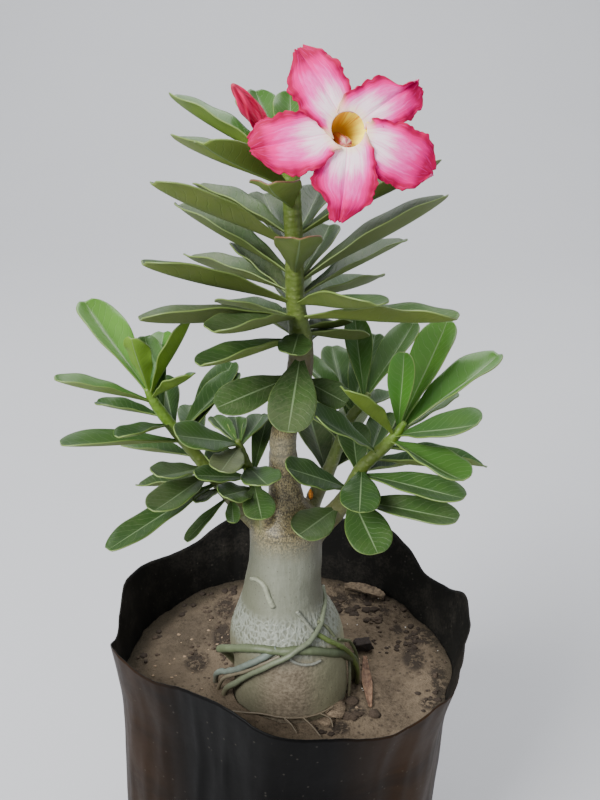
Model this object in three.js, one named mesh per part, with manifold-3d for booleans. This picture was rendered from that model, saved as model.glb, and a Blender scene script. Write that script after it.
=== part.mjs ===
// Desert rose (adenium) in a black nursery bag, with one open flower and one bud.
// Millimetres, +Z up, +X right, the front of the plant at -Y.
// The origin is the bag's flat underside, below the middle of its rim.
import * as THREE from 'three'
import { mergeVertices } from 'three/addons/utils/BufferGeometryUtils.js'
import Module from 'manifold-3d'

const wasm = await Module()
wasm.setup()

// Driving dimensions
const GAP = 0.3
const BAG_HEIGHT = 145
const BAG_FILM = 0.8
const BAG_LEAN = -7
const BAG_SIDES = 36
const SOIL_LEVEL = 120
const SOIL_FALL = 1.6
const SOIL_SIDES = 36
const CAUDEX_SIDES = 20
const STEM_SIDES = 8
const LEAF_THICKNESS = 0.95
const LEAF_FOLD = 38
const LEAF_ARCH = 0.12
const LEAF_DROP = 0.45
const LEAF_OPENING = 0.45
const PETAL_THICKNESS = 0.75

// Rim of the bag: azimuth, radius and height of the film's edge
const RIM = [
  [-180, 75, 137], [-168, 76, 145], [-157, 75, 151], [-141, 69, 150.5],
  [-125, 66, 154], [-110, 68, 155], [-96, 74, 151.5], [-78, 73, 147.5],
  [-57, 72.5, 140.5], [-43, 75.5, 145], [-34, 74.5, 142], [-12, 72, 144.5],
  [1, 75, 144], [8, 75, 150], [22, 74.5, 142], [35, 74, 140],
  [44, 74.5, 147.5], [54, 74.5, 153.5], [75, 74.5, 151.5], [100, 75, 155],
  [114, 75, 153.5], [128, 75, 146], [140, 75, 146], [156, 75.5, 150.5],
  [167, 75, 151.5], [174, 75, 143.5],
]

// Wall of the bag: share of its height, and share of the rim's radius there
const BAG_WALL = [
  [0, 0.8], [0.02, 0.86], [0.06, 0.905], [0.16, 0.925], [0.45, 0.93],
  [0.8, 0.94], [0.9, 0.965], [1, 1],
]

// Caudex and trunk: height, middle x, middle y, half width and half depth
const CAUDEX = [
  [66, -1.5, -11, 6, 6], [78, -1.5, -11, 15, 14.5],
  [98, -2, -11, 21, 19.5], [110, -1.5, -11, 23, 20.8], [121, -1, -11, 23.8, 21.5],
  [131, -1, -11.5, 23.4, 22], [139, -1.3, -12, 22.9, 22.3], [147, -2.4, -12, 23.3, 22.8],
  [153, -2.7, -12, 22.2, 22.2], [159, -3, -12, 20.1, 20.1], [164, -3.8, -12, 17.6, 17.6],
  [169, -4, -12, 16, 16], [176, -3.6, -12, 14.9, 14.9], [184, -2.7, -12, 14.4, 14.4],
  [191, -2.5, -12, 14.1, 14.1], [198, -2.2, -12, 14.3, 14.2], [202, -2, -12, 14, 13.6],
  [206, -2.2, -12, 11.2, 10.6], [210, -2.4, -12, 7.9, 7.6], [216, -2.7, -12, 6.5, 6.5],
  [226, -3.1, -12, 5.6, 5.6], [237, -3.3, -12, 5, 5], [250, -0.6, -12, 4.9, 4.9],
]

// Aerial roots on the caudex: radii at both ends, then azimuth, height and
// reach, the distance from the middle as a share of the caudex's radius
const ROOTS = [
  { radii: [1.5, 1.9], path: [
    [140, 115, 1.14], [160, 130, 1.2], [-174, 142, 1.2], [-157, 148, 1.09],
    [-140, 152, 1], [-123, 155, 1], [-106, 156, 1], [-90, 156, 1], [-74, 156, 1],
    [-58, 154, 1], [-33, 148, 1], [-10, 140, 1], [5, 131, 1.12], [16, 115, 1.2]] },
  { radii: [1.5, 1.1], path: [
    [-98, 157, 1], [-114, 152, 1], [-128, 147, 1], [-150, 139, 1.03],
    [-166, 133, 1.12], [-178, 127, 1.28], [172, 115, 1.34]] },
  { radii: [0.8, 0.8], path: [
    [-95, 154, 1], [-114, 149, 1], [-135, 142, 1.03], [-152, 136, 1.06],
    [-168, 128, 1.2], [-178, 115, 1.32]] },
  { radii: [0.9, 1.3], path: [
    [14, 168, 1], [-9, 166, 1], [-27, 164, 1], [-40, 162, 1.02], [-50, 161, 1.04],
    [-64, 159, 1.08], [-77, 157.5, 1.1], [-88, 155, 1.1], [-100, 152, 1.06],
    [-114, 147, 1.03], [-131, 141, 1.02], [-152, 131, 1.05], [-166, 123, 1.14],
    [-171, 114, 1.22]] },
  { radii: [1, 0.9], path: [
    [-52, 160, 1], [-39, 155, 1.02], [-25, 149, 1.05], [-10, 141, 1.08],
    [-1, 134, 1.12], [4, 125, 1.18], [7, 114, 1.2]] },
  { radii: [0.7, 0.6], path: [
    [-24, 152, 1.02], [-9, 147, 1.04], [3, 142, 1.1], [9, 132, 1.2], [11, 115, 1.26]] },
  { radii: [0.6, 0.6], path: [
    [-1, 137, 1.05], [-12, 129, 1.06], [-17, 115, 1.08]] },
  { radii: [0.7, 0.6], path: [
    [-42, 163, 1], [-35, 160, 1.02], [-30, 155, 1.03]] },
  { radii: [0.8, 0.8], path: [
    [-69, 170, 1], [-61, 166, 1.01], [-55, 161, 1.02]] },
  { radii: [0.6, 0.6], path: [
    [-90, 155, 1], [-83, 152, 1.01], [-74, 150, 1.01], [-64, 149, 1.01], [-54, 149, 1]] },
]

// Raised scar of a shed limb on the caudex's left front
const SCAR = { radii: [0.8, 1.2], path: [
  [-150, 180, 1], [-134, 181.5, 1], [-120, 180, 1], [-111, 176, 1], [-103, 172, 0.97]] }

// Forms of leaves: fold and tilt in degrees; a tilt below 0 turns the upper face to the front
const BROAD = { fold: 14, width: 15, tilt: -30 }
const FULL = { fold: 22, width: 22, tilt: -14 }
const SMALL = { fold: 14, width: 12, tilt: -30 }
const OPEN = { fold: 26, width: 15.5, tilt: -8 }
const NARROW = { fold: 24, width: 15, tilt: -10 }

// Stems: height, x, y and radius along each, rooted in the caudex's shoulder; broad is
// the width of a leaf of no length and what each mm of length adds to it.
// Leaves: height on the stem, azimuth, rise and length, then any changes of form
const MAIN_STEM = {
  joint: 258,
  broad: [3.5, 0.35],
  tilt: 15,
  path: [
    [246, -1.6, -12, 4.8], [258, 1.6, -12, 4.9], [266, 3, -12, 4.7], [275, 3.4, -12, 4.3],
    [284, 2.3, -12, 3.7], [292, 1.3, -12, 3.4], [310, 1, -12, 3.2], [327, 0.3, -12, 3.1],
    [336, 0, -12, 2.9], [342, 0, -12, 1.6],
  ],
  leaves: [
    [336, 154, 26, 50], [330, 148, 15, 50], [330, -128, 28, 47], [314, 141, 15, 46],
    [310, -161, 29, 54], [300, 146, 20, 54], [291, 132, 23, 36], [290, -162, 21, 56],
    [294, 140, 4, 52], [285, -160, 7, 56], [285, 137, -5, 40], [277, -137, 4, 45],
    [285, -128, 11, 44, { width: 22 }], [280, -97, -2, 20, SMALL], [263, -152, -10, 33, BROAD],
    [262, -26, -18, 20, SMALL], [297, 18, 26, 62], [292, 41, 12, 55, { width: 16 }],
    [290, -58, 17, 50, { tilt: 24 }], [291, 58, -7, 58], [285, -25, 9, 58],
    [281, 53, -13, 30], [279, 44, -17, 35], [324, -100, 24, 42],
    [301, -87, 33, 42], [312, 75, 18, 38], [314, 26, 20, 60], [296, 69, 21, 38],
    [338, 117, 38, 34], [339, 91, 41, 30], [336, 124, 35, 36], [331, 62, 32, 44],
    [322, 100, 22, 48], [306, 104, 14, 50], [284, 96, 6, 48], [276, 112, -2, 40],
    [272, 82, -4, 38], [272, -98, -26, 36, { fold: 14, width: 17, tilt: -30 }],
  ],
}
const LEFT_STEM = {
  joint: 207,
  broad: [2.5, 0.31],
  tilt: 5,
  path: [
    [195, -7, -12, 5], [201, -13, -12, 4.3], [207, -19, -12, 3.4], [217, -27, -12, 2.7],
    [228, -35, -10.5, 2.4], [242, -45, -10, 2.2], [252, -51, -10, 1.9], [257, -53, -10, 1.2],
  ],
  leaves: [
    [254, 136, 37, 46, { width: 20 }], [255, -105, 67, 28], [254, -12, 62, 36, { width: 15 }],
    [254, 87, 22, 34], [251, -158, 26, 38], [245, 164, 6, 28], [253, -43, 35, 28], [240, 105, 19, 30],
    [235, -158, 10, 46], [242, -121, 15, 30], [228.5, 150, -6, 36], [238, 52, 23, 36],
    [235, 62, 29, 40], [224, -117, 22, 34, OPEN], [222, -115, 8, 40, OPEN],
    [218.5, -130, -3, 54, { fold: 24, width: 12, tilt: -10 }],
    [213, -140, -30, 24, { fold: 30, width: 6, tilt: -8 }],
    [216, -120, 10, 18], [219, 158, -14, 36], [212, -84, -11, 14],
    [246, 110, 40, 34], [229, 100, 10, 34],
  ],
}
const RIGHT_STEM = {
  joint: 206,
  broad: [2.5, 0.31],
  tilt: 5,
  path: [
    [194, 6, -12, 5.5], [200, 11, -12.5, 4.8], [206, 16, -13.5, 4], [215, 21, -15, 3.2],
    [227, 26, -16, 2.6], [236, 33, -18, 2.3], [243, 38, -19.5, 2], [248, 40.5, -20, 1.2],
  ],
  leaves: [
    [243, 29, 27, 50, { width: 20 }], [244, 57, 41, 48, { width: 18 }], [244, -110, 84, 30],
    [242, -145, 47, 34, { width: 16 }], [242, -43, 26, 38, FULL],
    [240, -60, 6, 42, { fold: 36, width: 19, tilt: 8 }], [237, 21, -20, 46], [231, 28, -18, 34],
    [224, -40, 9, 46, NARROW], [212.5, -30, 7, 46, NARROW], [227, -95, -14, 23, BROAD],
    [216, -71, -18, 30, { fold: 14, width: 17, tilt: -20 }], [209, -126, 2, 26, BROAD],
    [217, -146, 33, 34, BROAD], [234, -140, 40, 40, { fold: 28, width: 17, tilt: -34 }],
    [241, 44, 12, 36], [225, 43, -12, 30], [230, 74, 8, 34],
    [224, 96, 44, 21, { fold: 30, width: 14 }],
  ],
}
const FRONT_STEM = {
  joint: 211,
  broad: [2.5, 0.31],
  tilt: 5,
  path: [
    [197, -7, -17, 3.6], [206, -9.5, -19.5, 2.8], [213, -11, -20.6, 2.4],
    [222, -13.5, -21.6, 2.1], [231, -16, -22.8, 1.9], [238.5, -18.3, -23.7, 1.7],
    [243, -19.4, -24.2, 1],
  ],
  leaves: [
    [239, -137, 22, 30, { fold: 14, width: 16, tilt: -30 }], [236, -104, 8, 24, SMALL],
    [240, 73, 2, 26], [240, 97, 4, 22], [240, 120, 8, 22],
    [229, -64, 14, 27, { fold: 20, width: 14.5, tilt: -20 }], [221, -122, 20, 22, SMALL],
    [223, -80, -8, 21, { fold: 14, width: 14, tilt: -30 }], [226, 79, 27, 30, { width: 9 }],
    [231, -133, 30, 22, SMALL], [226, -142, 22, 26, { fold: 24, width: 10, tilt: -20 }],
    [234, 168, 18, 22],
  ],
}
const BACK_STEM = {
  joint: 207,
  broad: [2.5, 0.31],
  tilt: 5,
  path: [
    [197, 5, -7, 4], [207, 9, -2, 3.3], [214, 13.5, 2, 2.8], [226, 18, 3.8, 2.3],
    [237, 22, 4.6, 2.1], [244, 27, 4.8, 1.8], [248, 29.5, 4.9, 1.1],
  ],
  leaves: [
    [214, 102, 21, 40, { fold: 30, width: 19 }], [217, 69, 17, 42], [237, 99, 24, 40],
    [237, 72, 29, 44],
    [244, 53, 32, 42], [240, 130, 22, 36], [228, 115, 6, 36], [222, 20, 18, 30],
    [245, 98, 50, 34], [215, 45, 11, 30], [240, 55, -6, 32],
  ],
}

// Flower: the middle of its mouth, and which way it looks
const MOUTH = [17, -42, 355]
const FLOWER_AZIMUTH = -76
const FLOWER_RISE = 18
const TUBE_LENGTH = 24
const TUBE_RADIUS = 2.3

// Lobes: angle round the mouth, length from its middle, then half widths on
// both edges at each share of the length
const LOBES = [
  { angle: 118, length: 27, edges: [
    [0.17, 5, 3.4], [0.28, 6.6, 5.8], [0.4, 8.9, 7], [0.52, 9.7, 7.8],
    [0.64, 9.8, 8], [0.76, 8.7, 7.2], [0.88, 4.8, 5.7], [1, 1.9, 3]] },
  { angle: 31, length: 27.3, edges: [
    [0.17, 6, 2.6], [0.28, 8.5, 3.8], [0.4, 8.7, 5.4], [0.52, 8.1, 7.2],
    [0.64, 7.6, 8.2], [0.76, 1.9, 8.1], [0.88, 0.8, 7.4], [1, -0.4, 4.2]] },
  { angle: -28, length: 30, edges: [
    [0.17, 3.6, 3.8], [0.28, 5.8, 4.9], [0.4, 7.8, 6.9], [0.52, 8.9, 8.6],
    [0.64, 9.2, 8.8], [0.76, 8.9, 8.3], [0.88, 7.4, 6.2], [1, 3, -0.2]] },
  { angle: -98, length: 26.5, edges: [
    [0.17, 4.4, 3.6], [0.28, 7.7, 5.4], [0.4, 8.8, 7.6], [0.52, 9.5, 9.5],
    [0.64, 9.5, 9.8], [0.76, 8.7, 5.8], [0.88, 5.6, 3.9], [1, 0.6, 2.6]] },
  { angle: 188, length: 29.3, edges: [
    [0.17, 4.4, 4.6], [0.28, 5.5, 6.2], [0.4, 8.6, 7.6], [0.52, 9.9, 8.2],
    [0.64, 10, 8.4], [0.76, 8.6, 7.8], [0.88, 5.6, 7], [1, 1.2, 3.8]] },
]

// Bud: foot, tip and half thickness along it
const BUD_FOOT = [-6, -22, 348]
const BUD_TIP = [-17, -35.5, 367]
const BUD_RADII = [[0, 1.8], [0.15, 2], [0.4, 2.7], [0.6, 2.7], [0.8, 2], [0.93, 1.2], [1, 0.6]]

// Colours, with roughness
const FINISH = {
  film: [0x1b1a1b, 0.45],
  soil: [0x9a866c, 0.95],
  bark: [0x8e8b76, 0.65],
  leaf: [0x3f6b32, 0.4],
  petal: [0xe8488a, 0.55],
  anther: [0xe9c3a4, 0.6],
  bud: [0xcf2f62, 0.5],
  dryLeaf: [0x9c6a4f, 0.8],
  chip: [0x3c3a3a, 0.9],
}

// Small helpers
const radians = THREE.MathUtils.degToRad
const vector = ([x, y, z]) => new THREE.Vector3(x, y, z)

function direction(azimuth, rise) {
  const flat = Math.cos(radians(rise))
  return new THREE.Vector3(
    flat * Math.cos(radians(azimuth)), flat * Math.sin(radians(azimuth)), Math.sin(radians(rise)))
}

// Smooth curve through rows of [x, value, ...], read at x. A turn closes it on itself
function smooth(rows, x, column, turn = 0) {
  const count = rows.length
  const row = (k) => {
    const wrap = turn ? Math.floor(k / count) : 0
    const index = turn ? k - wrap * count : Math.min(Math.max(k, 0), count - 1)
    return [rows[index][0] + wrap * turn, rows[index][column]]
  }
  let k = 0
  while (k < count - (turn ? 1 : 2) && row(k + 1)[0] <= x) k += 1
  const [before, start, end, after] = [row(k - 1), row(k), row(k + 1), row(k + 2)]
  const span = end[0] - start[0]
  const share = (x - start[0]) / span
  const leave = span * (end[1] - before[1]) / (end[0] - before[0])
  const arrive = span * (after[1] - start[1]) / (after[0] - start[0])
  const rise = end[1] - start[1]
  return start[1] + share * leave + share ** 2 * (3 * rise - 2 * leave - arrive) +
    share ** 3 * (leave + arrive - 2 * rise)
}

// Closed round grid, each point placed by its azimuth, ring number and reach:
// 1 on the skin, 0 in the middle of both ends
function skin(sides, rings, place) {
  const grid = new THREE.CylinderGeometry(1, 1, 1, sides, rings - 1)
  const spots = grid.attributes.position
  for (let i = 0; i < spots.count; i += 1) {
    const reach = Math.hypot(spots.getX(i), spots.getZ(i))
    const turn = reach < 0.5 ? 0 : Math.round(Math.atan2(-spots.getZ(i), spots.getX(i)) /
      (2 * Math.PI) * sides * 2) / (sides * 2)
    const ring = Math.round((spots.getY(i) + 0.5) * (rings - 1))
    const point = place(turn * 360, ring, reach < 0.5 ? 0 : 1)
    spots.setXYZ(i, point.x, point.y, point.z)
  }
  return grid
}

// Closed tube through stations of { point, radius }, its rings square to its path,
// or to a station's own direction along
function tube(stations, sides, lobe = () => 1) {
  const normals = []
  const crosses = []
  stations.forEach((station, k) => {
    const next = stations[Math.min(k + 1, stations.length - 1)].point
    const last = stations[Math.max(k - 1, 0)].point
    const along = station.along ?? next.clone().sub(last).normalize()
    const lean = k ? normals[k - 1].clone() : new THREE.Vector3(0.3, 1, 0.1)
    const normal = lean.addScaledVector(along, -lean.dot(along)).normalize()
    normals.push(normal)
    crosses.push(along.clone().cross(normal))
  })
  return skin(sides, stations.length, (azimuth, ring, reach) => {
    const { point, radius } = stations[ring]
    const out = reach * radius * lobe(azimuth, ring)
    return point.clone()
      .addScaledVector(normals[ring], out * Math.cos(radians(azimuth)))
      .addScaledVector(crosses[ring], out * Math.sin(radians(azimuth)))
  })
}

// Thin closed sheet. place(t, s, face) gives its points, t along it, s across it from
// -1 to 1, face 1 above and -1 below. Both faces are split into the same triangles
function sheet(rows, columns, place) {
  const points = []
  for (const t of rows) {
    for (const s of columns) {
      points.push(place(t, s, 1), place(t, s, -1))
    }
  }
  const faces = []
  const wide = columns.length
  const at = (row, column, under) => 2 * (row * wide + column) + under
  const quad = (a, b, c, d) => faces.push(a, b, c, a, c, d)
  const wall = (from, to) => quad(at(...from, 0), at(...from, 1), at(...to, 1), at(...to, 0))
  for (let row = 0; row < rows.length - 1; row += 1) {
    for (let column = 0; column < wide - 1; column += 1) {
      const corners = [[row, column], [row, column + 1], [row + 1, column + 1], [row + 1, column]]
      if (column >= (wide - 1) / 2) corners.push(corners.shift())
      const [a, b, c, d] = corners
      quad(at(...a, 0), at(...b, 0), at(...c, 0), at(...d, 0))
      quad(at(...a, 1), at(...b, 1), at(...c, 1), at(...d, 1))
      faces.splice(-6, 6, ...faces.slice(-6).reverse())
    }
    wall([row + 1, 0], [row, 0])
    wall([row, wide - 1], [row + 1, wide - 1])
  }
  for (let column = 0; column < wide - 1; column += 1) {
    wall([0, column], [0, column + 1])
    wall([rows.length - 1, column + 1], [rows.length - 1, column])
  }
  const geometry = new THREE.BufferGeometry().setFromPoints(points)
  geometry.setIndex(faces)
  return geometry
}

// Solids to join and cut
function solid(geometry) {
  const bare = new THREE.BufferGeometry()
  bare.setAttribute('position', geometry.attributes.position.clone())
  if (geometry.index) bare.setIndex(geometry.index.clone())
  const merged = mergeVertices(bare, 1e-4)
  const corners = merged.index.array
  const triangles = []
  for (let i = 0; i < corners.length; i += 3) {
    const [a, b, c] = corners.slice(i, i + 3)
    if (a !== b && b !== c && c !== a) triangles.push(a, b, c)
  }
  return new wasm.Manifold(new wasm.Mesh({
    numProp: 3,
    vertProperties: new Float32Array(merged.attributes.position.array),
    triVerts: new Uint32Array(triangles),
  }))
}

function joined(geometries) {
  return geometries.map(solid).reduce((whole, piece) => whole.add(piece))
}

function geometryOf(body) {
  const mesh = body.getMesh()
  const geometry = new THREE.BufferGeometry()
  geometry.setAttribute('position', new THREE.BufferAttribute(mesh.vertProperties, 3))
  geometry.setIndex(new THREE.BufferAttribute(mesh.triVerts, 1))
  geometry.computeVertexNormals()
  return geometry
}

// Bag: a point of its wall at an azimuth and a share of the height, set in from the outside
function bagPoint(azimuth, share, inset = 0) {
  const rimRadius = smooth(RIM, azimuth, 1, 360)
  const rimHeight = smooth(RIM, azimuth, 2, 360)
  let k = 0
  while (k < BAG_WALL.length - 2 && BAG_WALL[k + 1][0] < share) k += 1
  const [low, high] = [BAG_WALL[k], BAG_WALL[k + 1]]
  const fill = (share - low[0]) / (high[0] - low[0])
  const radius = rimRadius * (low[1] + fill * (high[1] - low[1])) - inset
  return new THREE.Vector3(
    BAG_LEAN * (1 - share) + radius * Math.cos(radians(azimuth)),
    radius * Math.sin(radians(azimuth)),
    BAG_HEIGHT * share + (rimHeight - BAG_HEIGHT) * share ** 3)
}

function growBag() {
  const levels = BAG_WALL.map(([share]) => share)
  const outside = levels.map((share) => [share, 0])
  const inside = levels.map((share) => [share, BAG_FILM]).reverse()
  const rings = [...outside, ...inside]
  return skin(BAG_SIDES, rings.length, (azimuth, ring, reach) => {
    const [share, inset] = rings[ring]
    const point = bagPoint(azimuth, share, inset)
    if (inset && share < 0.05) point.z = Math.max(point.z, BAG_FILM)
    if (!reach) point.set(BAG_LEAN, 0, point.z)
    return point
  })
}

// Soil: low mounds on a slope that falls to the right
function soilHeight(x, y) {
  const mounds = 0.9 * Math.sin(x / 11 + 1) * Math.cos(y / 13) + 0.5 * Math.sin(x / 6 - y / 7)
  return SOIL_LEVEL - SOIL_FALL * x / 75 + mounds
}

// Share of the bag's height at which its wall meets the soil
function soilShare(azimuth, inset) {
  let [low, high] = [0.5, 1]
  for (let step = 0; step < 24; step += 1) {
    const middle = (low + high) / 2
    const point = bagPoint(azimuth, middle, inset)
    if (point.z < soilHeight(point.x, point.y)) low = middle
    else high = middle
  }
  return low
}

function soilBlock() {
  const inset = BAG_FILM + GAP + 0.15
  const wall = BAG_WALL.map(([share]) => share).filter((share) => share < 0.9)
  const inward = [1, 0.82, 0.62, 0.45, 0.3]
  return skin(SOIL_SIDES, wall.length + inward.length, (azimuth, ring, reach) => {
    const top = soilShare(azimuth, inset)
    if (ring < wall.length) {
      const point = bagPoint(azimuth, Math.min(wall[ring], top - 0.012), inset)
      point.z = Math.max(point.z, BAG_FILM + GAP + 0.1)
      if (!reach) point.set(BAG_LEAN, 0, point.z)
      return point
    }
    const edge = bagPoint(azimuth, top, inset)
    const share = reach * inward[ring - wall.length]
    const [x, y] = [edge.x * share, edge.y * share]
    return new THREE.Vector3(x, y, soilHeight(x, y))
  })
}

// Caudex: a point of its skin, a little proud where grow is given
function caudexPoint(azimuth, height, reach = 1, grow = 0) {
  const [x, y, wide, deep] = [1, 2, 3, 4].map((column) => smooth(CAUDEX, height, column))
  return new THREE.Vector3(
    x + (wide + grow) * reach * Math.cos(radians(azimuth)),
    y + (deep + grow) * reach * Math.sin(radians(azimuth)),
    height)
}

function caudexSkin(grow = 0) {
  const heights = CAUDEX.map(([height]) => height)
  return skin(CAUDEX_SIDES, heights.length, (azimuth, ring, reach) =>
    caudexPoint(azimuth, heights[ring], reach, grow))
}

function rootTube({ radii, path }, grow = 0) {
  const points = path.map(([azimuth, height, reach]) =>
    caudexPoint(azimuth, height, reach, radii[0] * 0.35))
  const curve = new THREE.CatmullRomCurve3(points)
  const steps = Math.round(1.1 * path.length)
  const stations = curve.getPoints(steps).map((point, k) => ({
    point,
    radius: THREE.MathUtils.lerp(radii[0], radii[1], k / steps) + grow,
  }))
  return tube(stations, radii[0] > 1 ? 6 : 4)
}

// Stem: stations between two heights, with its own middle and radius at each
function stemPoint(stem, height) {
  return new THREE.Vector3(smooth(stem.path, height, 1), smooth(stem.path, height, 2), height)
}

function stemTube(stem, from, to, steps) {
  const stations = []
  for (let k = 0; k <= steps; k += 1) {
    const height = THREE.MathUtils.lerp(from, to, k / steps)
    const along = stemPoint(stem, height + 0.5).sub(stemPoint(stem, height - 0.5)).normalize()
    stations.push({ point: stemPoint(stem, height), radius: smooth(stem.path, height, 3), along })
  }
  return tube(stations, STEM_SIDES)
}

// Leaf: widest past its middle, narrowed to a short stalk, folded along its rib
function leafWidth(t, width) {
  const widest = 0.68
  const stalk = 0.14
  const share = t < widest
    ? stalk + (1 - stalk) * Math.sin(Math.PI / 2 * t / widest) ** 1.7
    : Math.sqrt(1 - ((t - widest) / (1.012 - widest)) ** 2.5)
  return width / 2 * share
}

function leaf(stem, [height, azimuth, rise, length, form = {}]) {
  const { fold = LEAF_FOLD, tilt = stem.tilt, width = stem.broad[0] + stem.broad[1] * length } = form
  const roll = -tilt * Math.cos(radians(azimuth))
  const foot = stemPoint(stem, height)
  const along = direction(azimuth, rise)
  const side = along.clone().cross(new THREE.Vector3(0, 0, 1)).normalize()
    .applyAxisAngle(along, radians(roll))
  const up = side.clone().cross(along)
  const rows = length < 37 ? [0, 0.45, 0.85, 1] : [0, 0.34, 0.64, 0.88, 1]
  return sheet(rows, [-1, 0, 1], (t, s, face) => {
    const half = leafWidth(t, width)
    const thick = LEAF_THICKNESS / 2 / Math.cos(radians(fold)) * (s ? 0.85 : 1)
    const bent = radians(fold) * (1 - LEAF_OPENING * t ** 4)
    const keel = (Math.abs(s) - LEAF_DROP) * half * Math.sin(bent)
    const lift = LEAF_ARCH * length * (t - t * t) + keel
    return foot.clone()
      .addScaledVector(along, 0.6 + (length - 0.6) * t)
      .addScaledVector(side, s * half * Math.cos(bent))
      .addScaledVector(up, lift + face * thick)
  })
}

// Frame of the flower: right, up and forward from the middle of its mouth
const mouth = vector(MOUTH)
const forward = direction(FLOWER_AZIMUTH, FLOWER_RISE)
const right = new THREE.Vector3(0, 0, 1).cross(forward).normalize()
const upward = forward.clone().cross(right)

function flowerPoint(a, b, c) {
  return mouth.clone().addScaledVector(right, a).addScaledVector(upward, b).addScaledVector(forward, c)
}

// Five narrow sepals round the end of a stalk, that looks along axis
function sepals(foot, axis, radius, length) {
  const start = new THREE.Vector3(0.3, 0.1, 1).cross(axis).normalize()
  return [0, 1, 2, 3, 4].map((k) => {
    const out = start.clone().applyAxisAngle(axis, k * 2 * Math.PI / 5)
    const side = axis.clone().cross(out)
    return sheet([0, 0.5, 1], [-1, 0, 1], (t, s, face) => foot.clone()
      .addScaledVector(axis, -1 + (length + 1) * t)
      .addScaledVector(side, s * 1.3 * (1 - 0.75 * t * t))
      .addScaledVector(out, radius - Math.abs(s) * 0.25 + 0.4 * t + face * 0.36))
  })
}

// Stalk from the stem's top to a flat end that looks along axis
function stalk(start, foot, axis, radius) {
  const curve = new THREE.CatmullRomCurve3([
    start,
    start.clone().lerp(foot, 0.5).addScaledVector(axis, -1.5),
    foot.clone().addScaledVector(axis, -2.2),
    foot,
  ])
  const flare = [1.5, 1.4, 1.4, 1.5, 1.8, radius]
  const stations = curve.getPoints(flare.length - 1).map((point, k) => ({ point, radius: flare[k] }))
  return tube(stations, 8)
}

function leafyShoot(stem) {
  const top = stem.path.at(-1)[0]
  const steps = Math.ceil((top - stem.joint) / 7)
  const shoot = stemTube(stem, stem.joint + GAP * 1.3, top, steps)
  return [shoot, ...stem.leaves.map((row) => leaf(stem, row))]
}

// Funnel of the flower and its five wavy lobes
function corolla() {
  const profile = [
    [0, -TUBE_LENGTH], [TUBE_RADIUS, -TUBE_LENGTH], [2.6, -14], [4.3, -9], [6.2, -4], [7.2, -0.9],
    [7.2, 0], [6, 0.1], [5.1, -3.6], [3.3, -8.6], [1.75, -13.4], [1.55, -TUBE_LENGTH + 1.2],
    [0, -TUBE_LENGTH + 1.2],
  ].map(([x, y]) => new THREE.Vector2(x, y))
  const funnel = new THREE.LatheGeometry(profile, 15)
  const spots = funnel.attributes.position
  for (let i = 0; i < spots.count; i += 1) {
    const point = flowerPoint(spots.getX(i), -spots.getZ(i), spots.getY(i))
    spots.setXYZ(i, point.x, point.y, point.z)
  }
  return [funnel, ...LOBES.map(lobe)]
}

function lobe({ angle, length, edges }, number) {
  const rows = edges.map(([share]) => share)
  const [cos, sin] = [Math.cos(radians(angle)), Math.sin(radians(angle))]
  return sheet(rows, [-1, -0.5, 0, 0.5, 1], (t, s, face) => {
    const half = smooth(edges, t, s < 0 ? 1 : 2)
    const out = length * t
    const ruffle = 1.1 * s * s * t * Math.sin(9 * t + 2.4 * s + 1.7 * number)
    const height = 1.4 * Math.sin(Math.PI * t) - 2.4 * t ** 3 - 0.7 * s + ruffle - 0.5 * (1 - t)
    const [a, b] = [out * cos + s * half * sin, out * sin - s * half * cos]
    return flowerPoint(a, b, height + face * PETAL_THICKNESS / 2)
  })
}

// Cone of anthers, from the foot of the tube to the mouth's lower edge
function antherCone() {
  const path = [[0, 0, -22.4, 1.2], [0, 0, -14, 1.2], [0, -0.5, -10.5, 1.4], [-0.2, -1.5, -7.5, 1.4],
    [-0.4, -2.7, -4, 1.7], [-0.5, -3.9, -1, 1.7]]
  return tube(path.map(([a, b, c, radius]) => ({ point: flowerPoint(a, b, c), radius })), 8)
}

function budSpindle() {
  const foot = vector(BUD_FOOT)
  const tip = vector(BUD_TIP)
  const twist = 34
  const stations = []
  for (let k = 0; k <= 10; k += 1) {
    stations.push({ point: foot.clone().lerp(tip, k / 10), radius: smooth(BUD_RADII, k / 10, 1) })
  }
  return tube(stations, 10, (azimuth, ring) =>
    1 + 0.1 * Math.cos(5 * radians(azimuth - twist * ring / 2)))
}

// Dry leaf that lies on the soil along a few ground points, each with its half width
function lyingLeaf(ground, curl) {
  const rows = ground.map((row, k) => k)
  return sheet(rows, [-1, 0, 1], (t, s, face) => {
    const [x, y, half] = ground[t]
    const [x1, y1] = ground[Math.min(t + 1, ground.length - 1)]
    const [x0, y0] = ground[Math.max(t - 1, 0)]
    const long = Math.hypot(x1 - x0, y1 - y0)
    const [px, py] = [x + s * half * (y1 - y0) / long, y - s * half * (x1 - x0) / long]
    const lift = 0.75 + Math.abs(s) * curl + 0.35 * face
    return new THREE.Vector3(px, py, soilHeight(px, py) + lift)
  })
}

function barkChip() {
  const [x, y] = [31, 14]
  const chip = new THREE.BoxGeometry(7.5, 5, 3.2, 2, 1, 1)
  const spots = chip.attributes.position
  for (let i = 0; i < spots.count; i += 1) {
    const taper = 1 - 0.16 * Math.sign(spots.getZ(i)) - 0.05 * Math.sign(spots.getX(i))
    spots.setXYZ(i, spots.getX(i) * taper, spots.getY(i) * taper, spots.getZ(i))
  }
  chip.rotateZ(radians(14))
  return chip.translate(x, y, soilHeight(x, y) + 2.4)
}

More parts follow.
